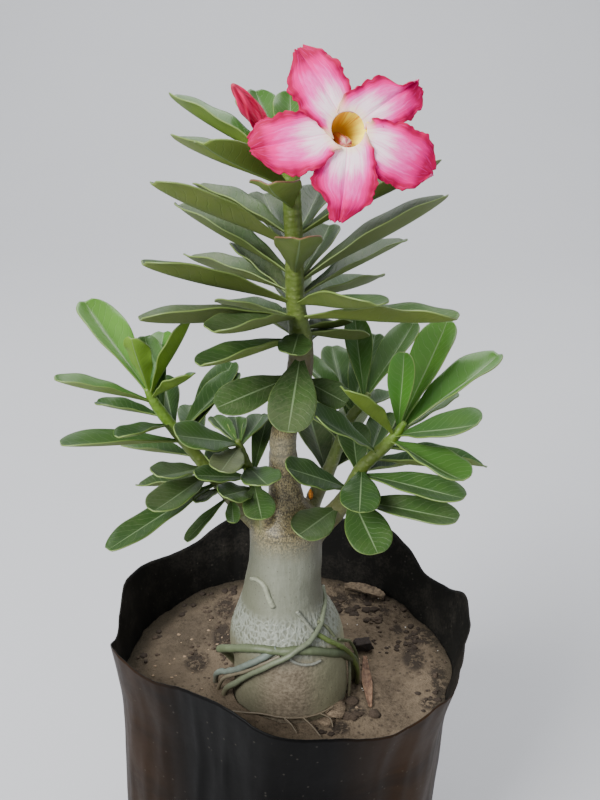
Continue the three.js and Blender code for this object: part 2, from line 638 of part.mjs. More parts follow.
// Solids of the plant, cut and joined where it grew as one
const stems = [MAIN_STEM, LEFT_STEM, RIGHT_STEM, FRONT_STEM, BACK_STEM]
const stubs = stems.map((stem) => stemTube(stem, stem.path[0][0], stem.joint, 3))
const roots = ROOTS.map((root) => rootTube(root))
const caudex = joined([caudexSkin(), ...stubs, ...roots, rootTube(SCAR)])
const plantHole = joined([caudexSkin(GAP + 0.1), ...ROOTS.map((root) => rootTube(root, GAP + 0.1))])
const soil = solid(soilBlock()).subtract(plantHole)

const flowerFoot = flowerPoint(0, 0, -TUBE_LENGTH - GAP)
const budAxis = vector(BUD_TIP).sub(vector(BUD_FOOT)).normalize()
const budFoot = vector(BUD_FOOT).addScaledVector(budAxis, -GAP)
const stemTop = stemPoint(MAIN_STEM, 338)
const mainShoot = joined([
  ...leafyShoot(MAIN_STEM),
  stalk(stemTop, flowerFoot, forward, 3.3),
  stalk(stemTop, budFoot, budAxis, 2.9),
  ...sepals(flowerFoot, forward, 3.3, 6),
  ...sepals(budFoot, budAxis, 2.9, 5),
])

const group = new THREE.Group()

function addPiece(name, geometry, [colour, roughness]) {
  const material = new THREE.MeshStandardMaterial({ color: colour, roughness, metalness: 0 })
  const mesh = new THREE.Mesh(geometry, material)
  mesh.name = name
  group.add(mesh)
}

addPiece('grow_bag', growBag(), FINISH.film)
addPiece('soil', geometryOf(soil), FINISH.soil)
addPiece('caudex_and_trunk', geometryOf(caudex), FINISH.bark)
addPiece('main_leafy_stem', geometryOf(mainShoot), FINISH.leaf)
addPiece('left_leafy_shoot', geometryOf(joined(leafyShoot(LEFT_STEM))), FINISH.leaf)
addPiece('right_leafy_shoot', geometryOf(joined(leafyShoot(RIGHT_STEM))), FINISH.leaf)
addPiece('front_leafy_shoot', geometryOf(joined(leafyShoot(FRONT_STEM))), FINISH.leaf)
addPiece('back_leafy_shoot', geometryOf(joined(leafyShoot(BACK_STEM))), FINISH.leaf)
addPiece('flower_corolla', geometryOf(joined(corolla())), FINISH.petal)
addPiece('flower_anthers', antherCone(), FINISH.anther)
addPiece('flower_bud', budSpindle(), FINISH.bud)
addPiece('dry_leaf_front', lyingLeaf(
  [[31.6, 8, 0.8], [31.4, -1, 1.6], [31.4, -9, 2.2], [31.6, -17, 1.6], [31.8, -25, 0.6]], 0.5), FINISH.dryLeaf)
addPiece('dry_leaf_rear', lyingLeaf(
  [[24.5, 55.5, 1.2], [29.5, 55.5, 2.6], [34.2, 54, 3.2], [38.8, 51, 3], [42.5, 47, 1.4]], 3), FINISH.dryLeaf)
addPiece('bark_chip', barkChip(), FINISH.chip)

export default group
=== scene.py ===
# Desert rose in a black nursery bag: the finished look of each piece.
# Sizes are millimetres in the plant's own frame, made metres where a mesh is built.
import functools
import random
from math import atan2, cos, exp, hypot, pi, radians, sin, sqrt

import bpy
from mathutils import Matrix, Vector, noise


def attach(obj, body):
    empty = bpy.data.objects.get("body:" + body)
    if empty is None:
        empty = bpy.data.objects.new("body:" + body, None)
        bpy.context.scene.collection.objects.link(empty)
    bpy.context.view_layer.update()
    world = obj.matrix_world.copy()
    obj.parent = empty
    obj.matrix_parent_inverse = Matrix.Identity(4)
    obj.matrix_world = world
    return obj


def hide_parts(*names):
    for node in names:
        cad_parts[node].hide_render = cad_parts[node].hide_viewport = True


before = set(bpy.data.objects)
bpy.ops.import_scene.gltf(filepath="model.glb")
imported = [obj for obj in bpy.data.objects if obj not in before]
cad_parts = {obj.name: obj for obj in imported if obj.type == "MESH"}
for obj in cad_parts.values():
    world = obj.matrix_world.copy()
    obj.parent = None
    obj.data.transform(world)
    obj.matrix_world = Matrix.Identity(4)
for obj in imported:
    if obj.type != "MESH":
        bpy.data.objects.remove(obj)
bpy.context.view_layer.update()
MM = 0.001

# Camera and ground
CAMERA_PLACE = (3, -343, 407.5)
CAMERA_PITCH = 25
CAMERA_LENS = 45
CAMERA_SENSOR = 36

# Bag and soil
BAG_HEIGHT = 145
BAG_FILM = 0.5
BAG_LEAN = -7
SOIL_LEVEL = 120
SOIL_FALL = 1.6
SOIL_GAP = 0.4
HOLE_GAP = 0.35
RIM = [
    (-180, 75, 137), (-168, 76, 145), (-157, 75, 151), (-141, 69, 150.5),
    (-125, 66, 154), (-110, 68, 155), (-96, 74, 151.5), (-78, 73, 147.5),
    (-57, 72.5, 140.5), (-43, 75.5, 145), (-34, 74.5, 142), (-12, 72, 144.5),
    (1, 75, 144), (8, 75, 150), (22, 74.5, 142), (35, 74, 140),
    (44, 74.5, 147.5), (54, 74.5, 153.5), (75, 74.5, 151.5), (100, 75, 155),
    (114, 75, 153.5), (128, 75, 146), (140, 75, 146), (156, 75.5, 150.5),
    (167, 75, 151.5), (174, 75, 143.5),
]
BAG_WALL = [
    (0, 0.8), (0.02, 0.86), (0.06, 0.905), (0.16, 0.925), (0.45, 0.93),
    (0.8, 0.94), (0.9, 0.965), (1, 1),
]

# Caudex and trunk: height, middle x, middle y, half width and half depth
SKIN_VOXEL = 0.7
CAUDEX = [
    (66, -1.5, -11, 6, 6), (78, -1.5, -11, 15, 14.5),
    (98, -2, -11, 21, 19.5), (110, -1.5, -11, 23, 20.8), (121, -1, -11, 23.8, 21.5),
    (131, -1, -11.5, 23.4, 22), (139, -1.3, -12, 22.9, 22.3), (147, -2.4, -12, 23.3, 22.8),
    (153, -2.7, -12, 22.2, 22.2), (159, -3, -12, 20.1, 20.1), (164, -3.8, -12, 17.6, 17.6),
    (169, -4, -12, 16, 16), (176, -3.6, -12, 14.9, 14.9), (184, -2.7, -12, 14.4, 14.4),
    (191, -2.5, -12, 14.1, 14.1), (198, -2.2, -12, 14.3, 14.2), (202, -2, -12, 14, 13.6),
    (206, -2.2, -12, 11.2, 10.6), (210, -2.4, -12, 7.9, 7.6), (216, -2.7, -12, 6.5, 6.5),
    (226, -3.1, -12, 5.6, 5.6), (237, -3.3, -12, 5, 5), (250, -0.6, -12, 4.9, 4.9),
]

# Aerial roots: radii at both ends, then azimuth, height and distance out at each point
ROOTS = [
    ((1.5, 1.9), [
        (140, 115, 1.14), (160, 130, 1.2), (-174, 142, 1.2), (-157, 148, 1.09),
        (-140, 152, 1), (-123, 155, 1), (-106, 156, 1), (-90, 156, 1), (-74, 156, 1),
        (-58, 154, 1), (-33, 148, 1), (-10, 140, 1), (5, 131, 1.12), (16, 115, 1.2)]),
    ((1.5, 1.1), [
        (-98, 157, 1), (-114, 152, 1), (-128, 147, 1), (-150, 139, 1.03),
        (-166, 133, 1.12), (-178, 127, 1.28), (172, 115, 1.34)]),
    ((0.8, 0.8), [
        (-95, 154, 1), (-114, 149, 1), (-135, 142, 1.03), (-152, 136, 1.06),
        (-168, 128, 1.2), (-178, 115, 1.32)]),
    ((0.9, 1.3), [
        (14, 168, 1), (-9, 166, 1), (-27, 164, 1), (-40, 162, 1.02), (-50, 161, 1.04),
        (-64, 159, 1.08), (-77, 157.5, 1.1), (-88, 155, 1.1), (-100, 152, 1.06),
        (-114, 147, 1.03), (-131, 141, 1.02), (-152, 131, 1.05), (-166, 123, 1.14),
        (-171, 114, 1.22)]),
    ((1, 0.9), [
        (-52, 160, 1), (-39, 155, 1.02), (-25, 149, 1.05), (-10, 141, 1.08),
        (-1, 134, 1.12), (4, 125, 1.18), (7, 114, 1.2)]),
    ((0.7, 0.6), [
        (-24, 152, 1.02), (-9, 147, 1.04), (3, 142, 1.1), (9, 132, 1.2), (11, 115, 1.26)]),
    ((0.6, 0.6), [(-1, 137, 1.05), (-12, 129, 1.06), (-17, 115, 1.08)]),
    ((0.7, 0.6), [(-42, 163, 1), (-35, 160, 1.02), (-30, 155, 1.03)]),
    ((0.8, 0.8), [(-69, 170, 1), (-61, 166, 1.01), (-55, 161, 1.02)]),
    ((0.6, 0.6), [
        (-90, 155, 1), (-83, 152, 1.01), (-74, 150, 1.01), (-64, 149, 1.01), (-54, 149, 1)]),
]
SCAR = ((0.8, 1.2), [
    (-150, 180, 1), (-134, 181.5, 1), (-120, 180, 1), (-111, 176, 1), (-103, 172, 0.97)])

# Dark crusts on the soil: middle and half sizes, mm
CRUSTS = [
    ((35.3, 51.5), (10.8, 4.8)), ((21.5, 47.2), (6.2, 8.2)), ((42.4, 40.1), (2.5, 2.9)),
    ((47.6, 27.4), (2.3, 3.4)), ((60, 22.1), (7.2, 6.4)), ((52.8, 7.6), (4.6, 8.1)),
    ((56.6, -20.6), (3.8, 3.6)), ((62.5, -8), (3.4, 12.9)), ((26, -27), (3.9, 4.3)),
    ((18.8, -36.1), (4, 3.3)), ((-32.2, 40.6), (4.7, 7.7)), ((-31.9, 20.4), (4.3, 8.8)),
    ((-42.1, 3.6), (5, 6.6))]

# Thin roots where the bulge meets the soil
THREADS = [
    ((0.5, 0.3), [
        (-143, 120.4, 1.25), (-130, 121.4, 1.1), (-118, 122.3, 1.03), (-100, 122.6, 1.03),
        (-84, 122.3, 1.03), (-68, 122.4, 1.04), (-54, 123, 1.05), (-46, 123.6, 1.06)]),
    ((0.35, 0.25), [(-78, 122.4, 1.04), (-73, 121.6, 1.25), (-70, 120.2, 1.5)]),
    ((0.35, 0.25), [(-96, 122.6, 1.03), (-89, 121.6, 1.16), (-85, 120.2, 1.32)]),
    ((0.3, 0.2), [(-62, 122.8, 1.04), (-56, 121.4, 1.2), (-58, 120, 1.36)]),
]

# Forms of leaves that aren't usual: fold and tilt in degrees, width in mm, and shares for
# how young and how dull the leaf and how red its margin is

def cut(fold, width, tilt, **more):
    return {"fold": fold, "width": width, "tilt": tilt, **more}


BROAD = cut(14, 15, -30)
FULL = cut(22, 22, -14, young=0)
SMALL = cut(14, 12, -30)
# A pale grey-olive leaf: partly real dust, partly its sheen painted into its colour.
DUST_AND_SHEEN = {**SMALL, "dull": 1.2}
OPEN = cut(26, 15.5, -8)
NARROW = cut(24, 15, -10)

# Thickness of the blades, and the gap under the flower and the bud
LEAF_THICKNESS = 0.5
PETAL_THICKNESS = 0.5
DRY_THICKNESS = 0.35
FOOT_GAP = 0.3

# Stems: height, x, y and radius; leaves: height, azimuth, rise, length and form
MAIN_STEM = {
    "joint": 258,
    "broad": (3.5, 0.35),
    "tilt": 15,
    "path": [
        (246, -1.6, -12, 4.8), (258, 1.6, -12, 4.9), (266, 3, -12, 4.7), (275, 3.4, -12, 4.3),
        (284, 2.3, -12, 3.7), (292, 1.3, -12, 3.4), (310, 1, -12, 3.2), (327, 0.3, -12, 3.1),
        (336, 0, -12, 2.9), (342, 0, -12, 1.6),
    ],
    "leaves": [
        (336, 154, 26, 50), (330, 148, 15, 50), (330, -128, 28, 47), (314, 141, 15, 46),
        (310, -161, 29, 54), (300, 146, 20, 54), (291, 132, 23, 36), (290, -162, 21, 56),
        (294, 140, 4, 52), (285, -160, 7, 56), (285, 137, -5, 40), (277, -137, 4, 45),
        (285, -128, 11, 44, {"width": 22}), (280, -97, -2, 20, SMALL), (263, -152, -10, 33, BROAD),
        (262, -26, -18, 20, SMALL), (297, 18, 26, 62), (292, 41, 12, 55, {"width": 16}),
        (290, -58, 17, 50, {"tilt": 24}), (291, 58, -7, 58), (285, -25, 9, 58),
        (281, 53, -13, 30), (279, 44, -17, 35), (324, -100, 24, 42, {"red": 1}),
        (301, -87, 33, 42, {"red": 1}), (312, 75, 18, 38), (314, 26, 20, 60), (296, 69, 21, 38),
        (338, 117, 38, 34), (339, 91, 41, 30), (336, 124, 35, 36), (331, 62, 32, 44),
        (322, 100, 22, 48), (306, 104, 14, 50), (284, 96, 6, 48), (276, 112, -2, 40),
        (272, 82, -4, 38), (272, -98, -26, 36, cut(14, 17, -30)),
    ],
}
LEFT_STEM = {
    "joint": 207,
    "broad": (2.5, 0.31),
    "path": [
        (195, -7, -12, 5), (201, -13, -12, 4.3), (207, -19, -12, 3.4), (217, -27, -12, 2.7),
        (228, -35, -10.5, 2.4), (242, -45, -10, 2.2), (252, -51, -10, 1.9), (257, -53, -10, 1.2),
    ],
    "leaves": [
        (254, 136, 37, 46, {"width": 20}), (255, -105, 67, 28), (254, -12, 62, 36, {"width": 15}),
        (254, 87, 22, 34), (251, -158, 24, 38, {"young": 0.3}), (245, 164, 6, 28),
        (253, -43, 35, 28, {"young": 0.4}), (240, 105, 19, 30),
        (235, -158, 10, 46), (242, -121, 15, 30), (228.5, 150, -6, 36), (238, 52, 23, 36),
        (235, 62, 29, 40), (224, -117, 22, 34, OPEN), (222, -115, 8, 40, OPEN),
        (218.5, -130, -3, 54, cut(24, 12, -10)),
        (213, -140, -30, 24, cut(30, 6, -8)),
        (216, -120, 10, 18), (219, 158, -14, 36), (212, -84, -11, 14),
        (246, 110, 40, 34), (229, 100, 10, 34),
    ],
}
RIGHT_STEM = {
    "joint": 206,
    "broad": (2.5, 0.31),
    "path": [
        (194, 6, -12, 5.5), (200, 11, -12.5, 4.8), (206, 16, -13.5, 4), (215, 21, -15, 3.2),
        (227, 26, -16, 2.6), (236, 33, -18, 2.3), (243, 38, -19.5, 2), (248, 40.5, -20, 1.2),
    ],
    "leaves": [
        (243, 29, 27, 50, {"width": 20}), (244, 57, 41, 48, {"width": 18, "young": 0.6}),
        (244, 70, 84, 30, {"young": 0.6}),
        (242, -145, 47, 34, {"width": 16, "young": 0.1}), (242, -43, 26, 38, FULL),
        (240, -60, 6, 42, cut(36, 19, 8, young=0.15)),
        (237, 21, -20, 46), (231, 28, -18, 34),
        (224, -40, 9, 46, NARROW), (212.5, -30, 7, 46, NARROW), (227, -95, -14, 23, BROAD),
        (216, -71, -18, 30, cut(14, 17, -20)), (209, -126, 2, 26, BROAD),
        (217, -146, 33, 34, BROAD), (234, -140, 40, 40, cut(28, 17, -34)),
        (241, 44, 12, 36), (225, 43, -12, 30), (230, 74, 8, 34),
        (224, 96, 44, 21, {"fold": 30, "width": 14}),
    ],
}
FRONT_STEM = {
    "joint": 211,
    "broad": (2.5, 0.31),
    "path": [
        (197, -7, -17, 3.6), (206, -9.5, -19.5, 2.8), (213, -11, -20.6, 2.4),
        (222, -13.5, -21.6, 2.1), (231, -16, -22.8, 1.9), (238.5, -18.3, -23.7, 1.7),
        (243, -19.4, -24.2, 1),
    ],
    "leaves": [
        (241, -137, 26, 30, cut(14, 16, -30)), (240, -103, 6, 23, DUST_AND_SHEEN),
        (240, 73, 2, 26), (240, 97, 4, 22), (240, 120, 8, 22),
        (231, -72, 15, 27, cut(20, 14.5, -20)), (221, -122, 20, 22, SMALL),
        (224, -80, -8, 21, cut(14, 12, -30)), (226, 79, 27, 30, {"width": 9}),
        (231, -133, 30, 22, SMALL), (226, -142, 22, 26, cut(24, 10, -20)),
        (234, 168, 18, 22),
    ],
}
BACK_STEM = {
    "joint": 207,
    "broad": (2.5, 0.31),
    "path": [
        (197, 5, -7, 4), (207, 9, -2, 3.3), (214, 13.5, 2, 2.8), (226, 18, 3.8, 2.3),
        (237, 22, 4.6, 2.1), (244, 27, 4.8, 1.8), (248, 29.5, 4.9, 1.1),
    ],
    "leaves": [
        (214, 102, 21, 40, {"fold": 30, "width": 19}), (217, 69, 17, 42), (237, 99, 24, 40),
        (237, 72, 29, 44),
        (244, 53, 32, 42), (240, 130, 22, 36), (228, 115, 6, 36), (222, 20, 18, 30),
        (245, 98, 50, 34), (215, 45, 11, 30), (240, 55, -6, 32),
    ],
}

# Flower and bud
MOUTH = Vector((17, -42, 355))
FLOWER_AZIMUTH = -76
FLOWER_RISE = 18
TUBE_LENGTH = 24
LOBE_START = 0.195
LOBES = [
    (118, 27, [
        (0.17, 5, 3.4), (0.28, 6.6, 5.8), (0.4, 8.9, 7), (0.52, 9.7, 7.8), (0.64, 9.8, 8),
        (0.76, 8.7, 7.2), (0.88, 4.8, 5.7), (1, 1.9, 3)]),
    (31, 27.3, [
        (0.17, 6, 2.6), (0.28, 8.5, 3.8), (0.4, 8.7, 5.4), (0.52, 8.1, 7.2), (0.64, 7.6, 8.2),
        (0.76, 1.9, 8.1), (0.88, 0.8, 7.4), (1, -0.4, 4.2)]),
    (-28, 30, [
        (0.17, 3.6, 3.8), (0.28, 5.8, 4.9), (0.4, 7.8, 6.9), (0.52, 8.9, 8.6), (0.64, 9.2, 8.8),
        (0.76, 8.9, 8.3), (0.88, 7.4, 6.2), (1, 3, -0.2)]),
    (-98, 26.5, [
        (0.17, 4.4, 3.6), (0.28, 7.7, 5.4), (0.4, 8.8, 7.6), (0.52, 9.5, 9.5), (0.64, 9.5, 9.8),
        (0.76, 8.7, 5.8), (0.88, 5.6, 3.9), (1, 0.6, 2.6)]),
    (188, 29.3, [
        (0.17, 4.4, 4.6), (0.28, 5.5, 6.2), (0.4, 8.6, 7.6), (0.52, 9.9, 8.2), (0.64, 10, 8.4),
        (0.76, 8.6, 7.8), (0.88, 5.6, 7), (1, 1.2, 3.8)]),
]
BUD_FOOT = Vector((-6, -22, 348))
BUD_TIP = Vector((-17, -35.5, 367))
BUD_RADII = [(0, 1.8), (0.15, 2), (0.4, 2.7), (0.6, 2.7), (0.8, 2), (0.93, 1.2), (1, 0.6)]


# Curves and places

def smooth(rows, x, column, turn=0):
    """Smooth curve through rows of (x, value, ...), read at x; a turn closes it on itself."""
    count = len(rows)

    def row(k):
        wrap = k // count if turn else 0
        index = k - wrap * count if turn else min(max(k, 0), count - 1)
        return rows[index][0] + wrap * turn, rows[index][column]

    k = 0
    while k < count - (1 if turn else 2) and row(k + 1)[0] <= x:
        k += 1
    before, start, end, after = row(k - 1), row(k), row(k + 1), row(k + 2)
    span = end[0] - start[0]
    share = (x - start[0]) / span
    leave = span * (end[1] - before[1]) / (end[0] - before[0])
    arrive = span * (after[1] - start[1]) / (after[0] - start[0])
    rise = end[1] - start[1]
    return (start[1] + share * leave + share ** 2 * (3 * rise - 2 * leave - arrive)
            + share ** 3 * (leave + arrive - 2 * rise))


def curve(points, at):
    """Every value of numbered points, read between them at a number, on a smooth curve."""
    rows = [(k, *point) for k, point in enumerate(points)]
    return [smooth(rows, at, column) for column in range(1, len(rows[0]))]


def direction(azimuth, rise):
    flat = cos(radians(rise))
    azimuth = radians(azimuth)
    return Vector((flat * cos(azimuth), flat * sin(azimuth), sin(radians(rise))))


def ripple(point, scale, octaves=3):
    """Natural unevenness at a point, about -1 to 1, over features scale mm wide."""
    return noise.fractal(Vector(point) / scale, 0.8, 2.1, octaves, noise_basis="PERLIN_ORIGINAL")


def blend(low, high, value):
    share = min(max((value - low) / (high - low), 0), 1)
    return share * share * (3 - 2 * share)


# Starting shapes

def deselect():
    bpy.ops.object.select_all(action="DESELECT")


def pick(*pieces):
    deselect()
    for piece in pieces:
        piece.select_set(True)
    bpy.context.view_layer.objects.active = pieces[0]


@functools.cache
def flat_grid(across, along):
    """A square grid, modelled once for each count of faces, that every sheet starts from."""
    deselect()
    bpy.ops.mesh.primitive_grid_add(x_subdivisions=across, y_subdivisions=along, size=2,
                                    calc_uvs=True)
    grid = bpy.context.object
    mesh = grid.data.copy()
    bpy.data.objects.remove(grid)
    return mesh


def shaped(name, mesh, place):
    """A copy of a mesh as an object of its own, each vertex moved to place(vertex) in mm."""
    piece = bpy.data.objects.new(name, mesh.copy())
    bpy.context.collection.objects.link(piece)
    spots = [value * MM for vertex in mesh.vertices for value in place(vertex.co)]
    piece.data.vertices.foreach_set("co", spots)
    return piece


def sheet(name, across, along, place):
    """Grid shaped point by point: place(t, s), t along it from 0 to 1, s across it from -1 to 1."""
    return shaped(name, flat_grid(across, along), lambda spot: place((spot.y + 1) / 2, spot.x))


def roll(name, sides, rows, place):
    """Grid rolled into a closed round body: place(azimuth, share); its end rows are points."""
    piece = sheet(name, sides, rows, lambda t, s: place(180 * s, t))
    pick(piece)
    bpy.ops.object.mode_set(mode="EDIT")
    bpy.ops.mesh.select_all(action="SELECT")
    bpy.ops.mesh.remove_doubles(threshold=1e-6)
    bpy.ops.mesh.normals_make_consistent(inside=False)
    bpy.ops.object.mode_set(mode="OBJECT")
    return piece


def tube(name, stations, sides, detail=None):
    """Round body along stations of (point, radius), drawn to a point at both ends."""
    frames = []
    normal = Vector((0.3, 1, 0.1))
    for k, (point, radius) in enumerate(stations):
        along = stations[min(k + 1, len(stations) - 1)][0] - stations[max(k - 1, 0)][0]
        along.normalize()
        normal = (normal - along * normal.dot(along)).normalized()
        frames.append((point, radius, normal.copy(), along.cross(normal)))
    last = len(frames) + 1

    def place(azimuth, share):
        ring = round(share * last)
        point, radius, normal, cross = frames[min(max(ring - 1, 0), last - 2)]
        if ring in (0, last):
            return point
        if detail:
            radius += detail(azimuth, (ring - 1) / (last - 2))
        angle = radians(azimuth)
        return point + normal * radius * cos(angle) + cross * radius * sin(angle)

    return roll(name, sides, last, place)


def join(name, pieces):
    pick(*pieces)
    if len(pieces) > 1:
        bpy.ops.object.join()
    piece = bpy.context.object
    piece.name = name
    return piece


def finish(piece, modifier, **values):
    """A modifier, set and applied."""
    pick(piece)
    new = piece.modifiers.new(modifier.title(), modifier)
    for key, value in values.items():
        setattr(new, key, value)
    bpy.ops.object.modifier_apply(modifier=new.name)


def wear(piece, *materials):
    for material in materials:
        piece.data.materials.append(material)


def dress(piece, node, slot, *materials):
    """The piece stands for a node, rides with the plant and wears its materials."""
    wear(piece, *materials)
    pick(piece)
    bpy.ops.object.shade_smooth()
    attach(piece, "root")
    if node:
        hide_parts(node)


def paint(piece, name, colour):
    """Gives the whole piece one colour, kept with its mesh."""
    layer = piece.data.color_attributes.new(name, "FLOAT_COLOR", "POINT")
    layer.data.foreach_set("color", list(colour) * len(layer.data))


# Shader building

def is_socket(value):
    return isinstance(value, bpy.types.NodeSocket)


def node(tree, kind, sockets=None, **settings):
    """A new node; sockets gives inputs by name or number, each a value or another node's output."""
    new = tree.nodes.new(kind if kind.startswith("Node") else "ShaderNode" + kind)
    for key, value in settings.items():
        setattr(new, key, value)
    for key, value in (sockets or {}).items():
        if is_socket(value):
            tree.links.new(value, new.inputs[key])
        else:
            new.inputs[key].default_value = value
    return new


def linked(kind, sockets, **settings):
    """A new node, in the tree that its first linked input comes from."""
    tree = next(value.id_data for value in sockets.values() if is_socket(value))
    return node(tree, kind, sockets, **settings)


def maths(operation, *values, clamp=False):
    return linked("Math", dict(enumerate(values)), operation=operation, use_clamp=clamp).outputs[0]


def times(first, second):
    return maths("MULTIPLY", first, second)


def plus(first, second):
    return maths("ADD", first, second)


def minus(first, second):
    return maths("SUBTRACT", first, second)


def larger(first, second):
    return maths("MAXIMUM", first, second)


def scaled(value, factor, offset, clamp=False):
    return maths("MULTIPLY_ADD", value, factor, offset, clamp=clamp)


def reach(value, low, high, to_low=0, to_high=1):
    """Value between low and high, smoothly carried to between to_low and to_high."""
    return linked("MapRange", dict(enumerate((value, low, high, to_low, to_high))),
                  interpolation_type="SMOOTHSTEP").outputs[0]


def mix(factor, first, second, blend_type="MIX"):
    def colour(value):
        return value if is_socket(value) else (*value, 1)
    return linked("Mix", {0: factor, 6: colour(first), 7: colour(second)},
                  data_type="RGBA", blend_type=blend_type).outputs[2]


def stretched(vector, *scale):
    return linked("Mapping", {0: vector, "Scale": scale}).outputs[0]


def fractal(vector, scale, detail=4, roughness=0.55, distortion=0):
    return linked("TexNoise", {"Vector": vector, "Scale": scale, "Detail": detail,
                               "Roughness": roughness, "Distortion": distortion}).outputs["Fac"]


def cells(vector, scale, feature="F1"):
    pattern = linked("TexVoronoi", {"Vector": vector, "Scale": scale}, feature=feature)
    return pattern.outputs["Distance"]


def look(colour, height, strength, distance, **more):
    """Sockets of a surface with a colour and a relief."""
    relief = linked("Bump", {"Height": height, "Strength": strength, "Distance": distance})
    return {"Base Color": colour, "Normal": relief.outputs["Normal"], **more}


def group(name, inputs, outputs):
    """A shared effect: inputs of (name, kind, value) and outputs of (name, kind)."""
    tree = bpy.data.node_groups.new(name, "ShaderNodeTree")
    for label, kind, value in inputs:
        socket = tree.interface.new_socket(label, in_out="INPUT", socket_type="NodeSocket" + kind)
        if value is not None:
            socket.default_value = value
    for label, kind in outputs:
        tree.interface.new_socket(label, in_out="OUTPUT", socket_type="NodeSocket" + kind)
    return tree, node(tree, "NodeGroupInput").outputs, node(tree, "NodeGroupOutput").inputs


def use(shared, sockets):
    return linked("Group", sockets, node_tree=shared).outputs


def surface(name, build, **constants):
    """A material: build(tree) gives the sockets that vary, constants sit on the shader itself."""
    new = bpy.data.materials.new(name)
    new.use_nodes = True
    tree = new.node_tree
    shader = tree.nodes["Principled BSDF"]
    for key, value in constants.items():
        shader.inputs[key.replace("_", " ")].default_value = value
    for key, socket in build(tree).items():
        tree.links.new(socket, shader.inputs[key])
    return new


def place_in_mm(tree):
    """Object coordinates in millimetres: whole, x, y and z."""
    coordinates = node(tree, "TexCoord").outputs["Object"]
    point = linked("VectorMath", {0: coordinates, "Scale": 1 / MM}, operation="SCALE").outputs[0]
    return point, *linked("SeparateXYZ", {0: point}).outputs


def own_map(tree):
    """The piece's own map: whole, across it and along it."""
    chart = node(tree, "UVMap", uv_map="UVMap").outputs[0]
    across, along, _ = linked("SeparateXYZ", {0: chart}).outputs
    return chart, across, along


def leaf_tints(tree):
    """How young a leaf is, a chance of its own, how dull it is and how red its margin is."""
    tint = node(tree, "Attribute", attribute_name="leaf_tint").outputs
    return *linked("SeparateColor", {0: tint["Color"]}).outputs, tint["Alpha"]


# Shared effects

def dust_effect():
    """Settled dust: its mask, and specks set in cells of a Size, on a Point in mm."""
    tree, come, go = group("settled_dust", [
        ("Point", "Vector", None), ("Amount", "Float", 0.5), ("Size", "Float", 0.2)],
        [("Mask", "Float"), ("Specks", "Float")])
    cloud = fractal(come["Point"], 0.06, 5, 0.65)
    fine = fractal(come["Point"], 0.9, 3, 0.6)
    both = times(cloud, plus(fine, 0.35))
    level = minus(0.62, times(come["Amount"], 0.4))
    soft = scaled(minus(both, level), 4, 0.3, clamp=True)
    tree.links.new(soft, go["Mask"])
    spots = cells(come["Point"], come["Size"])
    tree.links.new(reach(spots, 0.12, 0.05), go["Specks"])
    return tree


def vein_effect():
    """Midrib, side veins and margin of a blade from its own map."""
    tree, come, go = group("blade_veins", [
        ("Map", "Vector", None), ("Pairs", "Float", 12), ("Slant", "Float", 2.6)],
        [("Midrib", "Float"), ("Veins", "Float"), ("Margin", "Float")])
    u, along, _ = linked("SeparateXYZ", {0: come["Map"]}).outputs
    across = maths("ABSOLUTE", scaled(u, 2, -1))
    width = scaled(along, -0.045, 0.072)
    tree.links.new(reach(maths("DIVIDE", across, width), 1, 0.35), go["Midrib"])
    wander = fractal(come["Map"], 6, 2)
    run = scaled(wander, 1.1, minus(times(along, come["Pairs"]), times(across, come["Slant"])))
    wave = maths("ABSOLUTE", minus(maths("FRACT", run), 0.5))
    tree.links.new(reach(wave, 0.09, 0), go["Veins"])
    tree.links.new(reach(across, 0.93, 0.99), go["Margin"])
    return tree


DUST = dust_effect()
VEINS = vein_effect()


# Materials

RED_MARGIN = (0.15, 0.07, 0.03)


def leaf_sockets(tree, upper):
    """Colour, roughness and normal of a blade's upper or lower face."""
    point, *_ = place_in_mm(tree)
    chart = node(tree, "UVMap", uv_map="UVMap").outputs[0]
    young, chance, dull, red = leaf_tints(tree)
    blade = use(VEINS, {"Map": chart})
    blotch = fractal(point, 0.11, 3)
    if upper:
        old = mix(chance, (0.018, 0.052, 0.011), (0.034, 0.084, 0.018))
        fresh = mix(chance, (0.05, 0.165, 0.016), (0.09, 0.23, 0.026))
        grey = (0.034, 0.056, 0.018)
    else:
        old = mix(chance, (0.11, 0.16, 0.02), (0.16, 0.21, 0.032))
        fresh = mix(chance, (0.11, 0.23, 0.012), (0.15, 0.28, 0.022))
        grey = (0.09, 0.115, 0.035)
    colour = mix(young, old, fresh)
    colour = mix(times(dull, 0.7), colour, grey)
    colour = mix(reach(blotch, 0.35, 0.7, 0, 0.25), colour, (0.06, 0.12, 0.02))
    colour = mix(times(blade["Veins"], 0.2 if upper else 0.1), colour, (0.14, 0.23, 0.08))
    colour = mix(times(blade["Midrib"], 0.6), colour, (0.2, 0.28, 0.14))
    margin = mix(red, (0.18, 0.26, 0.05), RED_MARGIN)
    colour = mix(times(blade["Margin"], 0.5), colour, margin)
    dust = use(DUST, {"Point": point, "Amount": scaled(dull, 0.8, 0.1), "Size": 0.35})
    colour = mix(times(dust["Mask"], scaled(dull, 0.4, 0.01)), colour, (0.15, 0.155, 0.09))
    rough = scaled(dull, 0.13, 0.3 if upper else 0.52)
    rough = scaled(blotch, 0.12, rough)
    height = minus(times(blotch, 0.6), times(blade["Veins"], 0.35))
    height = minus(height, times(blade["Midrib"], 0.8 if upper else -1.2))
    sockets = look(colour, height, 0.5, 0.0004, Roughness=rough)
    if upper:
        sockets["Coat Weight"] = scaled(young, 0.4, 0.06)
    return sockets


def leaf_margin(tree):
    point, *_ = place_in_mm(tree)
    _, _, dull, red = leaf_tints(tree)
    pale = mix(fractal(point, 0.3), (0.1, 0.17, 0.03), (0.17, 0.24, 0.055))
    colour = mix(times(dull, 0.5), pale, (0.13, 0.17, 0.05))
    colour = mix(red, colour, RED_MARGIN)
    return {"Base Color": colour}


